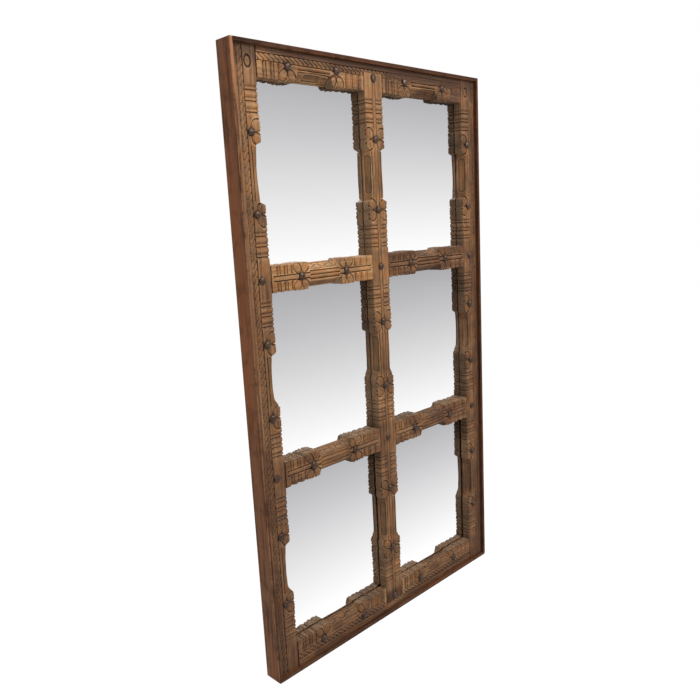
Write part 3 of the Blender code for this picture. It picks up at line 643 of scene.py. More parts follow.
def border_lines(member, s, t, centre):
    """The rope, the fillet beside it, and the ridge between the flowers of an outer member."""
    outer = outer_side(member, t)
    pitch = ROPE_PITCH_UPRIGHT if member.along == "z" else ROPE_PITCH_RAIL
    worn = member.border.depth * (crispness(member, s) if member.name == "top_rail" else 1.0)
    rope = rope_depth(s, outer, member.border, pitch, worn, member.seed)
    if member.along == "z":
        return deepest(rope, reeds(outer, STILE_REEDS), centre * reeds(outer, STILE_CENTRE_REEDS))
    ridge = bead(outer - RIDGE_CENTRE, RIDGE_HALF, RIDGE_DROP, RIDGE_HALF)
    return np.maximum(rope, centre * np.maximum(ridge, reeds(outer, RAIL_CENTRE_REEDS)))


def side_depth(member, s, rise, upward):
    """What runs down an open side: the flutes, and what is carved on each slanting stretch."""
    depth = flute_depth(member, s) + 0 * rise
    wear = crispness(member, s)
    panels = UPRIGHT_PANELS if member.along == "z" else RAIL_PANELS
    if member.name == "top_rail":
        panels = TOP_RAIL_PANELS
    for opening in member.openings:
        low = opening[0] + member.style.flower_end
        span = opening[1] - member.style.flower_end - low
        if upward and panels is RAIL_PANELS:
            cut = scroll_depth(s, rise, low + SCROLL_END, low + span - SCROLL_END)
        else:
            cut = deepest(*(panel_depth(s, rise, low, span, panel) for panel in panels))
        depth = np.maximum(depth, cut * wear)
    return depth


def scroll_depth(s, rise, low, high):
    """A row of leaves along a winding stem."""
    share = np.clip((s - low) / (high - low), 0, 1)
    faded = smoothstep(share, 1.0 - SCROLL_FADE_SHARE, 1.0)
    inside = smoothstep(share, 0.0, SCROLL_FADE_SHARE) * (1 - faded)
    stem = sum(SCROLL_HEIGHTS) / 2 + SCROLL_WIND * np.sin(share * 2 * np.pi * SCROLL_TURNS)
    gap = np.abs((share * 2 * SCROLL_TURNS % 1.0) - 0.5) * 2.0
    leaves = SCROLL_LEAF_SHARE * smoothstep(gap, *SCROLL_GAP_SHARES)
    foliage = np.maximum(groove(rise, stem, SCROLL_STEM_HALF), leaves)
    lines = deepest(*(groove(rise, height, SCROLL_LINE_HALF) for height in SCROLL_HEIGHTS))
    between = (rise > SCROLL_HEIGHTS[0]) * (rise < SCROLL_HEIGHTS[1])
    return inside * np.maximum(SCROLL_DEPTH * foliage * between, SCROLL_LINE_DEPTH * lines)


# Meshes


def carved_surface(member):
    """The carved member's stations, its points in millimetres, its share of face and its ridges."""
    s = stations(member)
    points, shares = section(member, s)
    normals = outward_normals(points)
    along = s[:, None] + 0 * points[..., 0]
    t = points[..., 0]
    face = shares[None, :] + 0 * t
    rise = np.clip(REVEAL - points[..., 1], 0, None)
    depth = face_depth(member, along, t) * smoothstep(face, 0.0, 0.9)
    middle = points.shape[1] // 2
    low_side = side_depth(member, along, rise, False) * member.open_low
    high_side = side_depth(member, along, rise, True) * member.open_high
    down = np.where(np.arange(points.shape[1])[None, :] < middle, low_side, high_side)
    near_face = smoothstep(rise, *(REVEAL - below for below in FLOWER_ON_SIDE))
    near_face = near_face * (1 - centre_share(member, along))
    down = np.maximum(down, flower_depth(member, along, t) * near_face)
    depth = np.where(face < 0.999, np.maximum(depth * face, down * (1 - face) + depth * face), depth)
    for k, (deep, reach_s, reach_t) in enumerate(WAVES):
        depth += deep * wander(along, t, reach_s, reach_t, member.seed + k + 1)
    rough = 1.0 - crispness(member, along)
    if member.border is not None:
        outer = outer_side(member, t)
        rough = np.maximum(rough, BORDER_ROUGH_SHARE * smoothstep(outer, *BORDER_ROUGH_FROM) * face)
    depth += rough * FIBRE_DEPTH * wander(along, t + rise, *FIBRE_REACHES, member.seed + 4)
    for nail in all_nails(member):
        away = np.hypot(along - nail, t - member.nail_t)
        seat = depth * smoothstep(away, *NAIL_SEAT_FADE) + NAIL_SEAT_DEPTH * (away < NAIL_SEAT_HALF)
        depth = np.where(face > 0.5, seat, depth)
    fade = np.ones(points.shape[1])
    fade[0] = fade[-1] = 0.0
    depth = depth * fade[None, :]
    for cut in joint_cuts(member, along, t):
        depth = depth + cut * (face > 0.5)
    placed = points - normals * depth[..., None]
    ridge = np.clip((blurred(depth, WEAR_BLUR) - depth) / WEAR_DEPTH, -1.0, 1.0)
    return s, placed, face, ridge


def joint_cuts(member, s, t):
    """Where the mullion laps over a top or bottom rail, the rail's face is cut down under it."""
    if member.name not in ("top_rail", "bottom_rail"):
        return []
    middle = member.length / 2
    low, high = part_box("mullion")
    if member.name == "top_rail":
        under = t < (high.z - member.place.z) / MM + 0.1
    else:
        under = t > (low.z - member.place.z) / MM - 0.1
    return [LAP_CUT * (under & (np.abs(s - middle) < (high.x - low.x) / MM / 2 + LAP_PLAY))]


def back_points(member):
    """The rest of the section's loop behind the glass line: a rebate behind each open side."""
    high = [(member.high, MEMBER_DEPTH)]
    if member.open_high:
        high = [(member.high - REBATE, REVEAL), (member.high - REBATE, MEMBER_DEPTH)]
    low = [(member.low, MEMBER_DEPTH)]
    if member.open_low:
        low = [(member.low + REBATE, MEMBER_DEPTH), (member.low + REBATE, REVEAL)]
    return high + low


def set_attribute(mesh, name, kind, values):
    made = mesh.attributes.new(name, kind, "POINT")
    key = "vector" if kind == "FLOAT_VECTOR" else "value"
    made.data.foreach_set(key, np.ascontiguousarray(values, dtype=np.float32).ravel())


def loop_mesh(name, grid, flip):
    """A closed mesh from rows of closed loops, capped at both ends."""
    rows, columns = grid.shape[:2]
    index = np.arange(rows * columns).reshape(rows, columns)
    a, b = index[:-1], index[1:]
    quads = np.stack([a, b, np.roll(b, -1, axis=1), np.roll(a, -1, axis=1)], axis=-1).reshape(-1, 4)
    caps = [index[0], index[-1][::-1]]
    if flip:
        quads = quads[:, ::-1]
        caps = [index[0][::-1], index[-1]]
    mesh = bpy.data.meshes.new(name)
    mesh.from_pydata(grid.reshape(-1, 3).tolist(), [], quads.tolist() + [cap.tolist() for cap in caps])
    mesh.validate()
    mesh.shade_smooth()
    mesh.set_sharp_from_angle(angle=math.radians(75))
    return mesh


def add_piece(name, mesh, finish, node=None, place=(0, 0, 0)):
    """A mesh as a piece on the main body, in place of the CAD node that is named."""
    mesh.materials.append(finish)
    piece = bpy.data.objects.new(name, mesh)
    bpy.context.scene.collection.objects.link(piece)
    piece.location = place
    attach(piece, BODY)
    if node is not None:
        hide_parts(node)


def mesh_of(bm, name):
    mesh = bpy.data.meshes.new(name)
    bm.to_mesh(mesh)
    bm.free()
    return mesh


def head_mesh(name, middle, rings, place):
    """A closed smooth mesh in millimetres, from a middle point out through rings of points to a flat foot."""
    bm = bmesh.new()
    rows = [[bm.verts.new(point) for point in ring] for ring in rings]
    centre = bm.verts.new(middle)
    for spoke in range(len(rows[0])):
        bm.faces.new((centre, rows[0][spoke - 1], rows[0][spoke]))
        for inner, outer in zip(rows, rows[1:]):
            bm.faces.new((inner[spoke - 1], outer[spoke - 1], outer[spoke], inner[spoke]))
    bm.faces.new(rows[-1])
    bmesh.ops.recalc_face_normals(bm, faces=bm.faces)
    bmesh.ops.transform(bm, matrix=place @ Matrix.Scale(MM, 4), verts=bm.verts)
    mesh = mesh_of(bm, name)
    mesh.shade_smooth()
    return mesh


def carved_piece(member, finish):
    s, placed, face, ridge = carved_surface(member)
    back = np.array(back_points(member))
    closing = np.broadcast_to(back[None], (len(s), len(back), 2))
    ring = np.concatenate([placed, closing], axis=1)
    along = np.broadcast_to(s[:, None], ring.shape[:2])
    grid = np.zeros(ring.shape[:2] + (3,))
    upright = member.along == "z"
    grid[..., 2 if upright else 0] = along * MM
    grid[..., 0 if upright else 2] = ring[..., 0] * MM
    grid[..., 1] = ring[..., 1] * MM
    name = member.name + "_carved"
    mesh = loop_mesh(name, grid + np.array(member.place), upright)
    extra = ((0, 0), (0, len(back)))
    lay = np.stack([along * MM + member.seed * 1.7, ring[..., 0] * MM, ring[..., 1] * MM], axis=-1)
    set_attribute(mesh, "lay", "FLOAT_VECTOR", lay)
    set_attribute(mesh, "wear", "FLOAT", np.pad(ridge, extra))
    set_attribute(mesh, "face", "FLOAT", np.pad(face, extra))
    set_attribute(mesh, "tone", "FLOAT", tone(member, along, ring[..., 0]))
    add_piece(name, mesh, finish, member.name)


# Patina, from 0, pale and worn, to 1, dark and dirty: at a member's start and its end, how patchy it is,
# and what its border adds at the start and at the end
TONE_SHARES = {
    "stile_left": (1.0, 0.40, 0.18, 0.15, 0.15),
    "stile_right": (0.95, 0.74, 0.18, 0.15, 0.20),
    "mullion": (0.92, 0.42, 0.20, 0.0, 0.0),
    "top_rail": (0.46, 1.0, 0.20, 0.12, 0.65),
    "bottom_rail": (0.88, 0.80, 0.16, 0.18, 0.28),
    "cross_rail_upper_left": (0.30, 0.20, 0.22, 0.0, 0.0),
    "cross_rail_upper_right": (0.95, 1.0, 0.22, 0.0, 0.0),
    "cross_rail_lower_left": (0.80, 0.74, 0.20, 0.0, 0.0),
    "cross_rail_lower_right": (0.84, 0.82, 0.20, 0.0, 0.0),
}
# Dirt near an end: which end, how far it is full and where it stops in mm, and how much it adds
END_DIRT = {
    "stile_left": ((0.0, 20.0, 150.0, 0.10), (1.0, 95.0, 130.0, 0.18), (1.0, 10.0, 75.0, 0.60)),
    "stile_right": ((0.0, 20.0, 150.0, 0.16), (1.0, 15.0, 80.0, 0.45)),
    "mullion": ((0.0, 120.0, 160.0, -0.25), (0.0, 25.0, 50.0, 0.80)),
}
# Painted shade along a member's outer edge, beside the casing: from where to where it comes in across the
# member, and how much it adds
RIM_SHADE = {
    "stile_left": (34.0, 37.0, 0.6),
    "stile_right": (29.0, 37.0, 0.6),
    "top_rail": (22.0, 28.0, 0.5),
}
BORDER_FROM = (3.0, 12.0)
# A painted highlight along the left stile's edge by the casing, stronger toward the top: its place across the
# member, its half width and its strength
HIGHLIGHT_LINE_PLACE = 32.5
HIGHLIGHT_LINE_HALF = 3.0
HIGHLIGHT_LINE_SHARE = 0.6
# Darker round each nail, partly dirt and partly a painted shade round the head: how much it adds and how far
# it reaches
NAIL_DIRT_AND_SHADE_SHARE = 0.35
NAIL_DIRT_AND_SHADE_REACH = 15.0


# The tone holds patina and dirt, and also painted shade beside the casing and round the nails, and a painted
# highlight along the left stile
def tone(member, s, t):
    start, end, patchy, border_start, border_end = TONE_SHARES[member.name]
    share = s / member.length
    base = start + (end - start) * share
    base = base + patchy * wander(s, t, 120.0, 45.0, member.seed + 21)
    if member.border is not None:
        outer = outer_side(member, t)
        extra = border_start + (border_end - border_start) * share
        base = base + extra * smoothstep(outer, *BORDER_FROM)
        # Painted shade in the recess beside the casing
        if member.name in RIM_SHADE:
            clean, full, added = RIM_SHADE[member.name]
            base = base + added * smoothstep(outer, clean, full)
        # Painted highlight: a lighter line along the left stile's edge by the casing
        if member.name == "stile_left":
            base = base - HIGHLIGHT_LINE_SHARE * share * groove(outer, HIGHLIGHT_LINE_PLACE, HIGHLIGHT_LINE_HALF)
    for place, full, gone, added in END_DIRT.get(member.name, ()):
        base = base + added * (1 - smoothstep(np.abs(s - place * member.length), full, gone))
    # Dirt and painted shade round each nail head
    for nail in all_nails(member):
        away = np.hypot(s - nail, t - member.nail_t)
        base = base + NAIL_DIRT_AND_SHADE_SHARE * np.exp(-((away / NAIL_DIRT_AND_SHADE_REACH) ** 2))
    return np.clip(base, 0.0, 1.6)


# Materials


class Graph:
    """The node tree of a material or world, with a short way to add each kind of node."""

    def __init__(self, owner):
        owner.use_nodes = True
        self.owner = owner
        self.tree = owner.node_tree

    def feed(self, socket, value):
        if isinstance(value, bpy.types.NodeSocket):
            self.tree.links.new(value, socket)
        else:
            socket.default_value = value

    def node(self, kind, inputs, **settings):
        made = self.tree.nodes.new("ShaderNode" + kind)
        for key, value in settings.items():
            setattr(made, key, value)
        for key, value in inputs.items():
            self.feed(made.inputs[key], value)
        return made

    def attribute(self, name, output="Fac"):
        return self.node("Attribute", {}, attribute_name=name).outputs[output]

    def position(self):
        return self.node("TexCoord", {}).outputs["Object"]

    def axis(self, vector, name):
        return self.node("SeparateXYZ", {0: vector}).outputs[name]

    def turned(self):
        """How far the surface is turned along Y; the mirror's front is at -1."""
        return self.axis(self.node("NewGeometry", {}).outputs["Normal"], "Y")

    def math(self, operation, first, second=0.0, clamp=False):
        return self.node("Math", {0: first, 1: second}, operation=operation, use_clamp=clamp).outputs[0]

    def times(self, first, second):
        return self.math("MULTIPLY", first, second)

    def scaled(self, vector, scale):
        return self.node("Mapping", {"Vector": vector, "Scale": scale}).outputs[0]

    def noise(self, vector, scale, detail, roughness, distortion=0.0):
        inputs = {"Vector": vector, "Scale": scale, "Detail": detail, "Roughness": roughness}
        return self.node("TexNoise", {**inputs, "Distortion": distortion}).outputs["Fac"]

    def ramp(self, value, stops):
        made = self.node("ValToRGB", {0: value})
        elements = made.color_ramp.elements
        while len(elements) < len(stops):
            elements.new(0.5)
        for element, (place, colour) in zip(elements, stops):
            element.position = place
            element.color = (*colour, 1.0)
        return made.outputs[0]

    def spread(self, value, low, high, out_low=0.0, out_high=1.0):
        inputs = {"Value": value, "From Min": low, "From Max": high, "To Min": out_low, "To Max": out_high}
        return self.node("MapRange", inputs).outputs[0]

    def mix(self, share, first, second, blend="MIX"):
        first, second = ((*value, 1.0) if isinstance(value, tuple) else value for value in (first, second))
        inputs = {"Factor": share, 6: first, 7: second}
        return self.node("Mix", inputs, data_type="RGBA", blend_type=blend).outputs[2]

    def tinted(self, colour, tint):
        return self.mix(1.0, colour, tint, "MULTIPLY")

    def bump(self, height, strength, distance):
        return self.node("Bump", {"Strength": strength, "Distance": distance, "Height": height}).outputs[0]

    def seen(self):
        """1 for rays that see the background directly, in a reflection or through glass."""
        rays = self.node("LightPath", {}).outputs
        direct = self.math("MAXIMUM", rays["Is Camera Ray"], rays["Is Glossy Ray"])
        return self.math("MAXIMUM", direct, rays["Is Transmission Ray"])

    def surface(self, **inputs):
        """Sets the shader's own sockets, named with underscores for spaces, and gives the material."""
        for key, value in inputs.items():
            self.feed(self.tree.nodes["Principled BSDF"].inputs[key.replace("_", " ")], value)
        return self.owner


def new_material(name):
    return Graph(bpy.data.materials.new(name))


def linear(red, green, blue):
    """A colour given as 0 to 255 sRGB."""
    shares = [value / 255 for value in (red, green, blue)]
    return tuple(v / 12.92 if v <= 0.04045 else ((v + 0.055) / 1.055) ** 2.4 for v in shares)


def shades(places, *colours):
    """Stops of a ramp from sRGB colours."""
    return [(place, linear(*colour)) for place, colour in zip(places, colours)]


def teak_material():
    g = new_material("carved_teak")
    lay = g.attribute("lay", "Vector")
    wear = g.attribute("wear")
    face = g.attribute("face")
    patina_and_painted_light = g.attribute("tone")
    grain = g.noise(g.scaled(lay, (7.0, 130.0, 130.0)), 1.0, 6.0, 0.6, 0.4)
    fine = g.noise(g.scaled(lay, (40.0, 700.0, 700.0)), 1.0, 4.0, 0.6)
    patches = g.noise(lay, 14.0, 5.0, 0.6)
    places = (0.28, 0.5, 0.72)
    pale = g.ramp(grain, shades(places, (106, 72, 42), (152, 111, 72), (188, 146, 101)))
    dark = g.ramp(grain, shades(places, (42, 27, 17), (78, 52, 33), (108, 76, 50)))
    aged_and_painted_light = g.math("ADD", patina_and_painted_light, g.spread(patches, 0.35, 0.65, -0.2, 0.2), clamp=True)
    colour = g.mix(aged_and_painted_light, pale, dark)
    warm = g.spread(g.noise(lay, 31.0, 3.0, 0.5), 0.45, 0.62)
    rusty = g.mix(aged_and_painted_light, linear(176, 112, 54), linear(106, 62, 30))
    colour = g.mix(g.times(warm, 0.45), colour, rusty)
    colour = g.mix(g.times(g.spread(fine, 0.42, 0.7), 0.25), colour, linear(52, 34, 24))
    worn = g.times(g.spread(wear, 0.12, 0.7), 0.6)
    colour = g.mix(worn, colour, g.mix(aged_and_painted_light, linear(200, 158, 112), linear(130, 95, 66)))
    # Past 1 the tone darkens further, for dirt and for the painted shade beside the casing and round the
    # nails
    colour = g.mix(g.spread(patina_and_painted_light, 1.0, 1.5, 0.0, 0.7), colour, linear(50, 27, 12))
    dirt = g.times(g.spread(wear, -0.06, -0.7), 0.88)
    colour = g.mix(dirt, colour, linear(34, 22, 15))
    # Painted light: faces turned away from the front, the sides and reveals, get a lighter, greyer colour in
    # place of the light they would catch
    painted_side_light_share = g.spread(g.turned(), -0.2, -0.5, 0.6, 0.05)
    side = g.times(g.math("SUBTRACT", 1.0, face), painted_side_light_share)
    colour = g.mix(side, colour, g.mix(aged_and_painted_light, linear(168, 138, 108), linear(92, 74, 56)))
    height = g.math("ADD", g.times(grain, 0.7), g.times(fine, 0.3))
    return g.surface(
        Base_Color=colour,
        Roughness=g.spread(grain, 0.3, 0.7, 0.75, 0.55),
        Specular_IOR_Level=0.2,
        Normal=g.bump(height, 0.55, 0.0011),
    )


# A casing board: its front's colour at both ends, its side's colour and how much its arris is lightened,
# partly by wear and partly by a painted highlight
Board = namedtuple("Board", "axis reach front_start front_end side rub")
BOARDS = {
    "casing_left": Board("Z", 0.85, (68, 45, 31), (140, 100, 73), (119, 82, 58), 0.6),
    "casing_right": Board("Z", 0.85, (70, 46, 31), (70, 46, 31), (84, 54, 37), 0.12),
    "casing_top": Board("X", 0.5, (64, 41, 27), (48, 30, 19), (108, 74, 52), 0.2),
    "casing_bottom": Board("X", 0.5, (72, 49, 35), (66, 44, 31), (88, 58, 40), 0.1),
}
BOARD_GRAINS = {"Z": (70.0, 70.0, 5.0), "X": (5.0, 70.0, 70.0)}


def casing_material(name, board):
    """Dark stained wood, whose front arris is lightened along some boards, partly by wear and partly by a
    painted highlight.
    """
    g = new_material(name)
    place = g.position()
    along = g.spread(g.axis(place, board.axis), -board.reach, board.reach)
    front = g.mix(g.math("POWER", along, 2.0), linear(*board.front_start), linear(*board.front_end))
    turned = g.turned()
    colour = g.mix(g.spread(turned, -0.4, -0.9), linear(*board.side), front)
    scale = BOARD_GRAINS[board.axis]
    grain = g.noise(g.scaled(place, scale), 1.0, 6.0, 0.62, 0.6)
    streaks = g.noise(g.scaled(place, tuple(v * 0.3 for v in scale)), 1.0, 4.0, 0.6, 0.8)
    patches = g.noise(place, 26.0, 5.0, 0.65)
    dark = g.tinted(colour, (0.36, 0.31, 0.29))
    warm = g.tinted(colour, (1.3, 1.02, 0.8))
    colour = g.mix(g.spread(grain, 0.53, 0.38, 0.0, 0.95), colour, dark)
    colour = g.mix(g.times(g.spread(streaks, 0.44, 0.58), 0.9), colour, warm)
    colour = g.mix(g.times(g.spread(patches, 0.5, 0.66), 0.5), colour, dark)
    # Chamfers that face the front get a lighter colour: partly wear, partly a painted highlight
    slant = g.math("ABSOLUTE", g.math("ADD", turned, 0.7))
    wear_and_light_patches = g.spread(patches, 0.62, 0.45, 0.0, board.rub)
    arris_wear_and_highlight = g.times(g.spread(slant, 0.25, 0.1), wear_and_light_patches)
    return g.surface(
        Base_Color=g.mix(arris_wear_and_highlight, colour, linear(182, 128, 86)),
        Roughness=g.spread(grain, 0.3, 0.7, 0.78, 0.6),
        Specular_IOR_Level=0.12,
        Normal=g.bump(grain, 0.4, 0.0009),
    )


def iron_material():
    g = new_material("forged_iron")
    place = g.position()
    rust = g.noise(place, 160.0, 6.0, 0.65)
    pits = g.noise(place, 620.0, 3.0, 0.6)
    colour = g.ramp(rust, shades((0.35, 0.55, 0.75), (42, 30, 22), (69, 49, 37), (99, 67, 45)))
    low_down = g.spread(g.axis(place, "Z"), 0.5, -0.5)
    return g.surface(
        Base_Color=g.mix(low_down, colour, g.tinted(colour, (0.88, 0.82, 0.77))),
        Metallic=g.spread(rust, 0.4, 0.7, 0.7, 0.25),
        Roughness=g.spread(pits, 0.3, 0.7, 0.3, 0.5),
        Normal=g.bump(pits, 0.5, 0.0008),
    )


def steel_material():
    g = new_material("zinc_plated_steel")
    spangle = g.noise(g.position(), 260.0, 3.0, 0.5)
    return g.surface(
        Base_Color=g.ramp(spangle, shades((0.35, 0.65), (176, 178, 180), (205, 207, 208))),
        Metallic=1.0,
        Roughness=g.spread(spangle, 0.3, 0.7, 0.25, 0.42),
    )


def plywood_material():
    g = new_material("plywood")
    place = g.position()
    grain = g.noise(g.scaled(place, (26.0, 26.0, 2.2)), 1.0, 5.0, 0.6, 1.2)
    pores = g.noise(g.scaled(place, (520.0, 520.0, 30.0)), 1.0, 2.0, 0.5)
    colour = g.ramp(grain, shades((0.3, 0.5, 0.7), (168, 134, 96), (196, 163, 122), (211, 182, 143)))
    return g.surface(
        Base_Color=g.mix(g.times(g.spread(pores, 0.5, 0.75), 0.25), colour, linear(120, 88, 60)),
        Roughness=g.spread(grain, 0.3, 0.7, 0.85, 0.7),
        Normal=g.bump(pores, 0.2, 0.0004),
    )


# A painted reflection on each pane, grey at its top and near white at its foot: its grey in sRGB at its top,
# middle and foot, how much lighter each row's panes are, and how blue the five stops from the foot to the top
# are
PAINTED_REFLECTION_GREYS = (172, 214, 249)
REFLECTION_ROW_LIFTS = {"top": 6, "middle": -2, "bottom": 2}
REFLECTION_BLUE_CASTS = (0, 1, 1, 2, 3)


def pane_material(row, low, high):
    g = new_material("silvered_glass_" + row)
    height = g.spread(g.axis(g.position(), "Z"), low, high)
    top, middle, foot = (grey + REFLECTION_ROW_LIFTS[row] for grey in PAINTED_REFLECTION_GREYS)
    levels = (foot, (middle + foot) / 2 + 1, middle, (middle + top) / 2, top)
    stops = [
        (place / 4, linear(level, level, min(255, level + REFLECTION_BLUE_CASTS[place])))
        for place, level in enumerate(levels)
    ]
    # The mirror's base colour carries the painted reflection's gradient
    return g.surface(Base_Color=g.ramp(height, stops), Metallic=1.0, Roughness=0.015)


# The lattice


def opening_boxes():
    """Each opening's edges in metres, from the pane that stands behind it."""
    found = {}
    seat = PANE_SEAT * MM
    for row in ROWS:
        for side in SIDES:
            low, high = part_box(f"mirror_{row}_{side}")
            found[row, side] = (low.x + seat, high.x - seat, low.z + seat, high.z - seat)
    return found


def make_member(name, along, run, edges, opens, spans, style, border, seed):
    """A member with its ends and edges in metres; opens says whether its low and high sides are carved."""
    middle = sum(edges) / 2
    start = run[0]
    place = Vector((middle, FACE_Y, start) if along == "z" else (start, FACE_Y, middle))
    nail_t = 0.0
    if along == "z":
        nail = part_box(f"nail_{name}_1")
        nail_t = ((nail[0].x + nail[1].x) / 2 - middle) / MM
    length = (run[1] - start) / MM
    low, high = ((edge - middle) / MM for edge in edges)
    openings = [tuple((end - start) / MM for end in span) for span in spans]
    return Member(name, along, place, length, low, high, *opens, openings, style, border, nail_t, seed)


def lattice_members():
    openings = opening_boxes()
    left = openings["top", "left"]
    right = openings["top", "right"]
    outer = (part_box("stile_left")[0].x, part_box("stile_right")[1].x)
    spans = [openings[row, "left"][2:] for row in reversed(ROWS)]
    members = []
    for name, edges, opens, style, border, seed in (
        ("stile_left", (outer[0], left[0]), (False, True), STILE, STILE_LEFT_BORDER, 3),
        ("stile_right", (right[1], outer[1]), (True, False), STILE, STILE_RIGHT_BORDER, 7),
        ("mullion", (left[1], right[0]), (True, True), UPRIGHT, None, 12),
    ):
        run = [corner.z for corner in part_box(name)]
        members.append(make_member(name, "z", run, edges, opens, spans, style, border, seed))
    gap = RAIL_GAP * MM
    ends = (left[0] + gap, right[1] - gap)
    spans = [(ends[0], left[1]), (right[0], ends[1])]
    over = (left[3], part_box("top_rail")[1].z)
    under = (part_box("bottom_rail")[0].z, openings["bottom", "left"][2])
    rails = [
        ("top_rail", "x", ends, over, (True, False), spans, TOP_RAIL, TOP_BORDER, 17),
        ("bottom_rail", "x", ends, under, (False, True), spans, BOTTOM_RAIL, BOTTOM_BORDER, 23),
    ]
    for level, above, below, seeds in (("upper", *ROWS[:2], (29, 33)), ("lower", *ROWS[1:], (37, 41))):
        for side, seed in zip(SIDES, seeds):
            start, end, foot, _ = openings[above, side]
            ends = (start + gap, end - gap)
            edges = (openings[below, side][3], foot)
            name = f"cross_rail_{level}_{side}"
            rails.append((name, "x", ends, edges, (True, True), [ends], RAIL, None, seed))
    return members + [make_member(*row) for row in rails]


# Nails


NAIL_RADIUS = 12.0
NAIL_HEIGHT = 7.0
NAIL_RINGS = 9
NAIL_SPOKES = 28
NAIL_FACETS = 9
NAIL_FOOT = 0.3
NAIL_FOOT_SHARE = 0.97
NAIL_TOP_SHARE = 0.95
# The least and the most of a hammer blow's tilt in radians and its place, and of the head's own sizes
BLOW_TILTS = (0.25, 1.1)
BLOW_SHARES = (0.91, 0.98)
NAIL_RADIUS_SHARES = (0.93, 0.99)
NAIL_HEIGHT_SHARES = (0.86, 0.98)
# How often the outline swells round a head, and by how much
NAIL_SWELL_SHARES = ((2, 0.05), (5, 0.03))


def on_dome(turn, tilt):
    across = np.sin(tilt)
    parts = (np.cos(turn) * across, np.sin(turn) * across, np.cos(tilt))
    return np.stack(np.broadcast_arrays(*parts), axis=-1)


def nail_mesh(name, x, z, seed):
    """A hand-forged head: a dome flattened by hammer blows, with a slightly uneven outline."""
    random = np.random.default_rng(seed)
    blows = []
    for _ in range(NAIL_FACETS):
        normal = on_dome(random.uniform(0, math.tau), random.uniform(*BLOW_TILTS))
        blows.append((normal, random.uniform(*BLOW_SHARES)))
    spokes = np.arange(NAIL_SPOKES) * math.tau / NAIL_SPOKES
    outline = 1.0
    for times, swell in NAIL_SWELL_SHARES:
        outline = outline + swell * np.cos(spokes * times + random.uniform(0, 6))
    radius = NAIL_RADIUS * random.uniform(*NAIL_RADIUS_SHARES)
    height = NAIL_HEIGHT * random.uniform(*NAIL_HEIGHT_SHARES)
    unit = on_dome(spokes, math.pi / 2 * np.arange(1, NAIL_RINGS + 1)[:, None] / NAIL_RINGS)
    for normal, reach in blows:
        unit = unit - normal * np.clip(unit @ normal - reach, 0, None)[..., None]
    unit[..., :2] *= outline[:, None]
    rings = unit[..., (0, 2, 1)] * (radius, -height, radius)
    foot = rings[-1] * (NAIL_FOOT_SHARE, 0, NAIL_FOOT_SHARE) + (0, NAIL_FOOT, 0)
    place = Matrix.Translation((x, FACE_Y, z))
    return head_mesh(name, (0, -height * NAIL_TOP_SHARE, 0), [*rings, foot], place)


def add_nails(members, finish):
    """A head over each nail that is a node, and one at each place where a rail's solid holds its nails."""
    heads = []
    for node in sorted(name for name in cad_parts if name.startswith("nail_")):
        low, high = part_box(node)
        heads.append((node + "_head", (low.x + high.x) / 2, (low.z + high.z) / 2, node))
    for member in members:
        if member.along == "x":
            for s, (_, up) in zip(all_nails(member), NAIL_SHIFTS[member.name]):
                x = member.place.x + s * MM
                heads.append((f"nail_{member.name}_{int(s)}", x, member.place.z + up * MM, None))
    for seed, (name, x, z, node) in enumerate(heads, 1):
        add_piece(name, nail_mesh(name, x, z, seed), finish, node)


# Panes


SILVER_BACKS = {"top": 2.0, "middle": 2.0, "bottom": 4.3}
SILVER_THICKNESS = 0.7
SILVER_BEVEL = 0.2


def add_panes():
    """Each pane's silvering, set back behind the glass line by the glass's own thickness."""
    for row, back in SILVER_BACKS.items():
        for side in SIDES:
            node = f"mirror_{row}_{side}"
            low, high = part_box(node)
            front = FACE_Y + (REVEAL + back) * MM
            bm = bmesh.new()
            size = Vector((high.x - low.x, SILVER_THICKNESS * MM, high.z - low.z))
            centre = Vector(((low.x + high.x) / 2, front + size.y / 2, (low.z + high.z) / 2))
            bmesh.ops.create_cube(bm, size=1, matrix=Matrix.Translation(centre) @ Matrix.Diagonal((*size, 1)))
            bmesh.ops.bevel(bm, geom=bm.edges[:], offset=SILVER_BEVEL * MM, segments=1, affect="EDGES")
            name = node + "_silvering"
            finish = pane_material(row, low.z, high.z)
            add_piece(name, mesh_of(bm, name), finish, node)


# Back


SCREW_RADIUS = 3.6
SCREW_HEIGHT = 1.5
SCREW_DOME_SHARE = 0.55
SCREW_RINGS = 7
SCREW_SPOKES = 40
SCREW_SLOT_HALF = 0.5
SCREW_SLOT_REACH = 2.3
SCREW_SLOT_DEPTH = 0.9
PANEL_SCREW_INSET = 11.0
PANEL_SCREWS_UP = 8
PANEL_SCREWS_ACROSS = 5
STRAP_THICKNESS = 1.5
STRAP_SCREW_DROPS = (-47.3, -22.5)


def screw_mesh(name, turn):
    """A domed screw head with a cross recess, its flat side at the origin and its dome toward +Y."""
    shares = np.arange(1, SCREW_RINGS + 1)[:, None] / SCREW_RINGS
    spokes = np.arange(SCREW_SPOKES) * math.tau / SCREW_SPOKES
    reach = SCREW_RADIUS * shares
    x, z = reach * np.cos(spokes), reach * np.sin(spokes)
    in_slot = (np.minimum(np.abs(x), np.abs(z)) < SCREW_SLOT_HALF) & (reach < SCREW_SLOT_REACH)
    dome = SCREW_HEIGHT * (1 - SCREW_DOME_SHARE * shares**3) - SCREW_SLOT_DEPTH * in_slot
    rings = np.stack([x, dome, z], axis=-1)
    middle = (0, SCREW_HEIGHT - SCREW_SLOT_DEPTH, 0)
    mesh = head_mesh(name, middle, [*rings, rings[-1] * (1, 0, 1)], Matrix.Rotation(turn, 4, "Y"))
    mesh.set_sharp_from_angle(angle=math.radians(50))
    return mesh


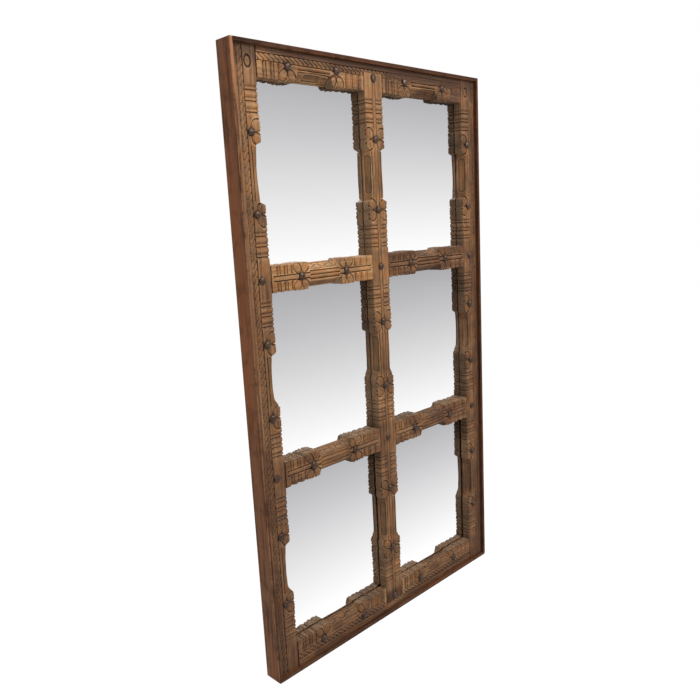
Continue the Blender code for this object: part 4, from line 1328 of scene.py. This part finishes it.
def back_screws(finish):
    """Screws round the back panel's edge, and two in each hanger strap."""
    low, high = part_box("back_panel")
    rim = PANEL_SCREW_INSET * MM
    xs = (low.x + rim, high.x - rim)
    zs = (low.z + rim, high.z - rim)
    places = [(x, high.y, z) for z in np.linspace(*zs, PANEL_SCREWS_UP) for x in xs]
    places += [(x, high.y, z) for x in np.linspace(*xs, PANEL_SCREWS_ACROSS)[1:-1] for z in zs]
    for side in SIDES:
        low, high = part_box("hanger_strap_" + side)
        for drop in STRAP_SCREW_DROPS:
            places.append(((low.x + high.x) / 2, low.y + STRAP_THICKNESS * MM, high.z + drop * MM))
    random = np.random.default_rng(5)
    for number, place in enumerate(places, 1):
        name = f"back_screw_{number}"
        add_piece(name, screw_mesh(name, random.uniform(0, math.tau)), finish, place=place)


# Stage


def world_and_lights():
    scene = bpy.context.scene
    scene.view_settings.view_transform = "Standard"
    scene.world = bpy.data.worlds.new("studio")
    g = Graph(scene.world)
    background = g.tree.nodes["Background"]
    g.feed(background.inputs["Color"], (1, 1, 1, 1))
    g.feed(background.inputs["Strength"], g.spread(g.seen(), 0.0, 1.0, AMBIENT, 1.0))
    lamp = bpy.data.lights.new("key", "AREA")
    lamp.size = KEY_SIZE
    lamp.energy = KEY_POWER
    key = bpy.data.objects.new("key", lamp)
    scene.collection.objects.link(key)
    key.location = KEY_PLACE
    key.rotation_euler = (-Vector(KEY_PLACE)).to_track_quat("-Z", "Y").to_euler()


def add_floor():
    """A pale floor below the hanging mirror, which shows white to the camera and keeps a shadow."""
    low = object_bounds()[0]
    bm = bmesh.new()
    bmesh.ops.create_grid(bm, x_segments=1, y_segments=1, size=FLOOR_SIZE)
    mesh = mesh_of(bm, "floor")
    g = new_material("pale_floor")
    mesh.materials.append(g.surface(Base_Color=(FLOOR_WHITE, FLOOR_WHITE, FLOOR_WHITE, 1), Roughness=0.9))
    share = g.times(g.seen(), GLOW_SHARE)
    plain = g.tree.nodes["Principled BSDF"].outputs[0]
    glow = g.node("Emission", {"Strength": FLOOR_GLOW}).outputs[0]
    mixed = g.node("MixShader", {0: share, 1: plain, 2: glow}).outputs[0]
    g.feed(g.tree.nodes["Material Output"].inputs["Surface"], mixed)
    floor = bpy.data.objects.new("floor", mesh)
    bpy.context.scene.collection.objects.link(floor)
    floor.location = (0, 0, low.z - FLOOR_DROP)


def add_camera():
    data = bpy.data.cameras.new("camera")
    data.lens = CAMERA_LENS
    data.clip_start = 0.05
    camera = bpy.data.objects.new("camera", data)
    bpy.context.scene.collection.objects.link(camera)
    camera.location = CAMERA_PLACE
    camera.rotation_euler = tuple(math.radians(v) for v in CAMERA_TURN)
    bpy.context.scene.camera = camera


# Assembly


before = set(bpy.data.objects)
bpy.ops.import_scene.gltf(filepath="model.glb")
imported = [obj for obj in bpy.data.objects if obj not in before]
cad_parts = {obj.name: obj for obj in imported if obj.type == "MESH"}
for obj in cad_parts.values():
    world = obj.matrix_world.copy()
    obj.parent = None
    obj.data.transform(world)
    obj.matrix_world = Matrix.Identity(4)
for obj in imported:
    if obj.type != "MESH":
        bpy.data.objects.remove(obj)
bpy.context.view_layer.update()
FACE_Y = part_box("cross_rail_upper_left")[0].y + NAIL_HEIGHT * MM


def dress(names, finish):
    for name in names:
        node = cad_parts[name]
        node.data.materials.clear()
        node.data.materials.append(finish)


add_camera()
world_and_lights()
add_floor()
teak = teak_material()
members = lattice_members()
for member in members:
    carved_piece(member, teak)
add_nails(members, iron_material())
add_panes()
for name, board in BOARDS.items():
    dress([name], casing_material("stained_" + name, board))
dress(["back_panel"], plywood_material())
steel = steel_material()
dress([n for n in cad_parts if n.startswith("hanger_")], steel)
back_screws(steel)
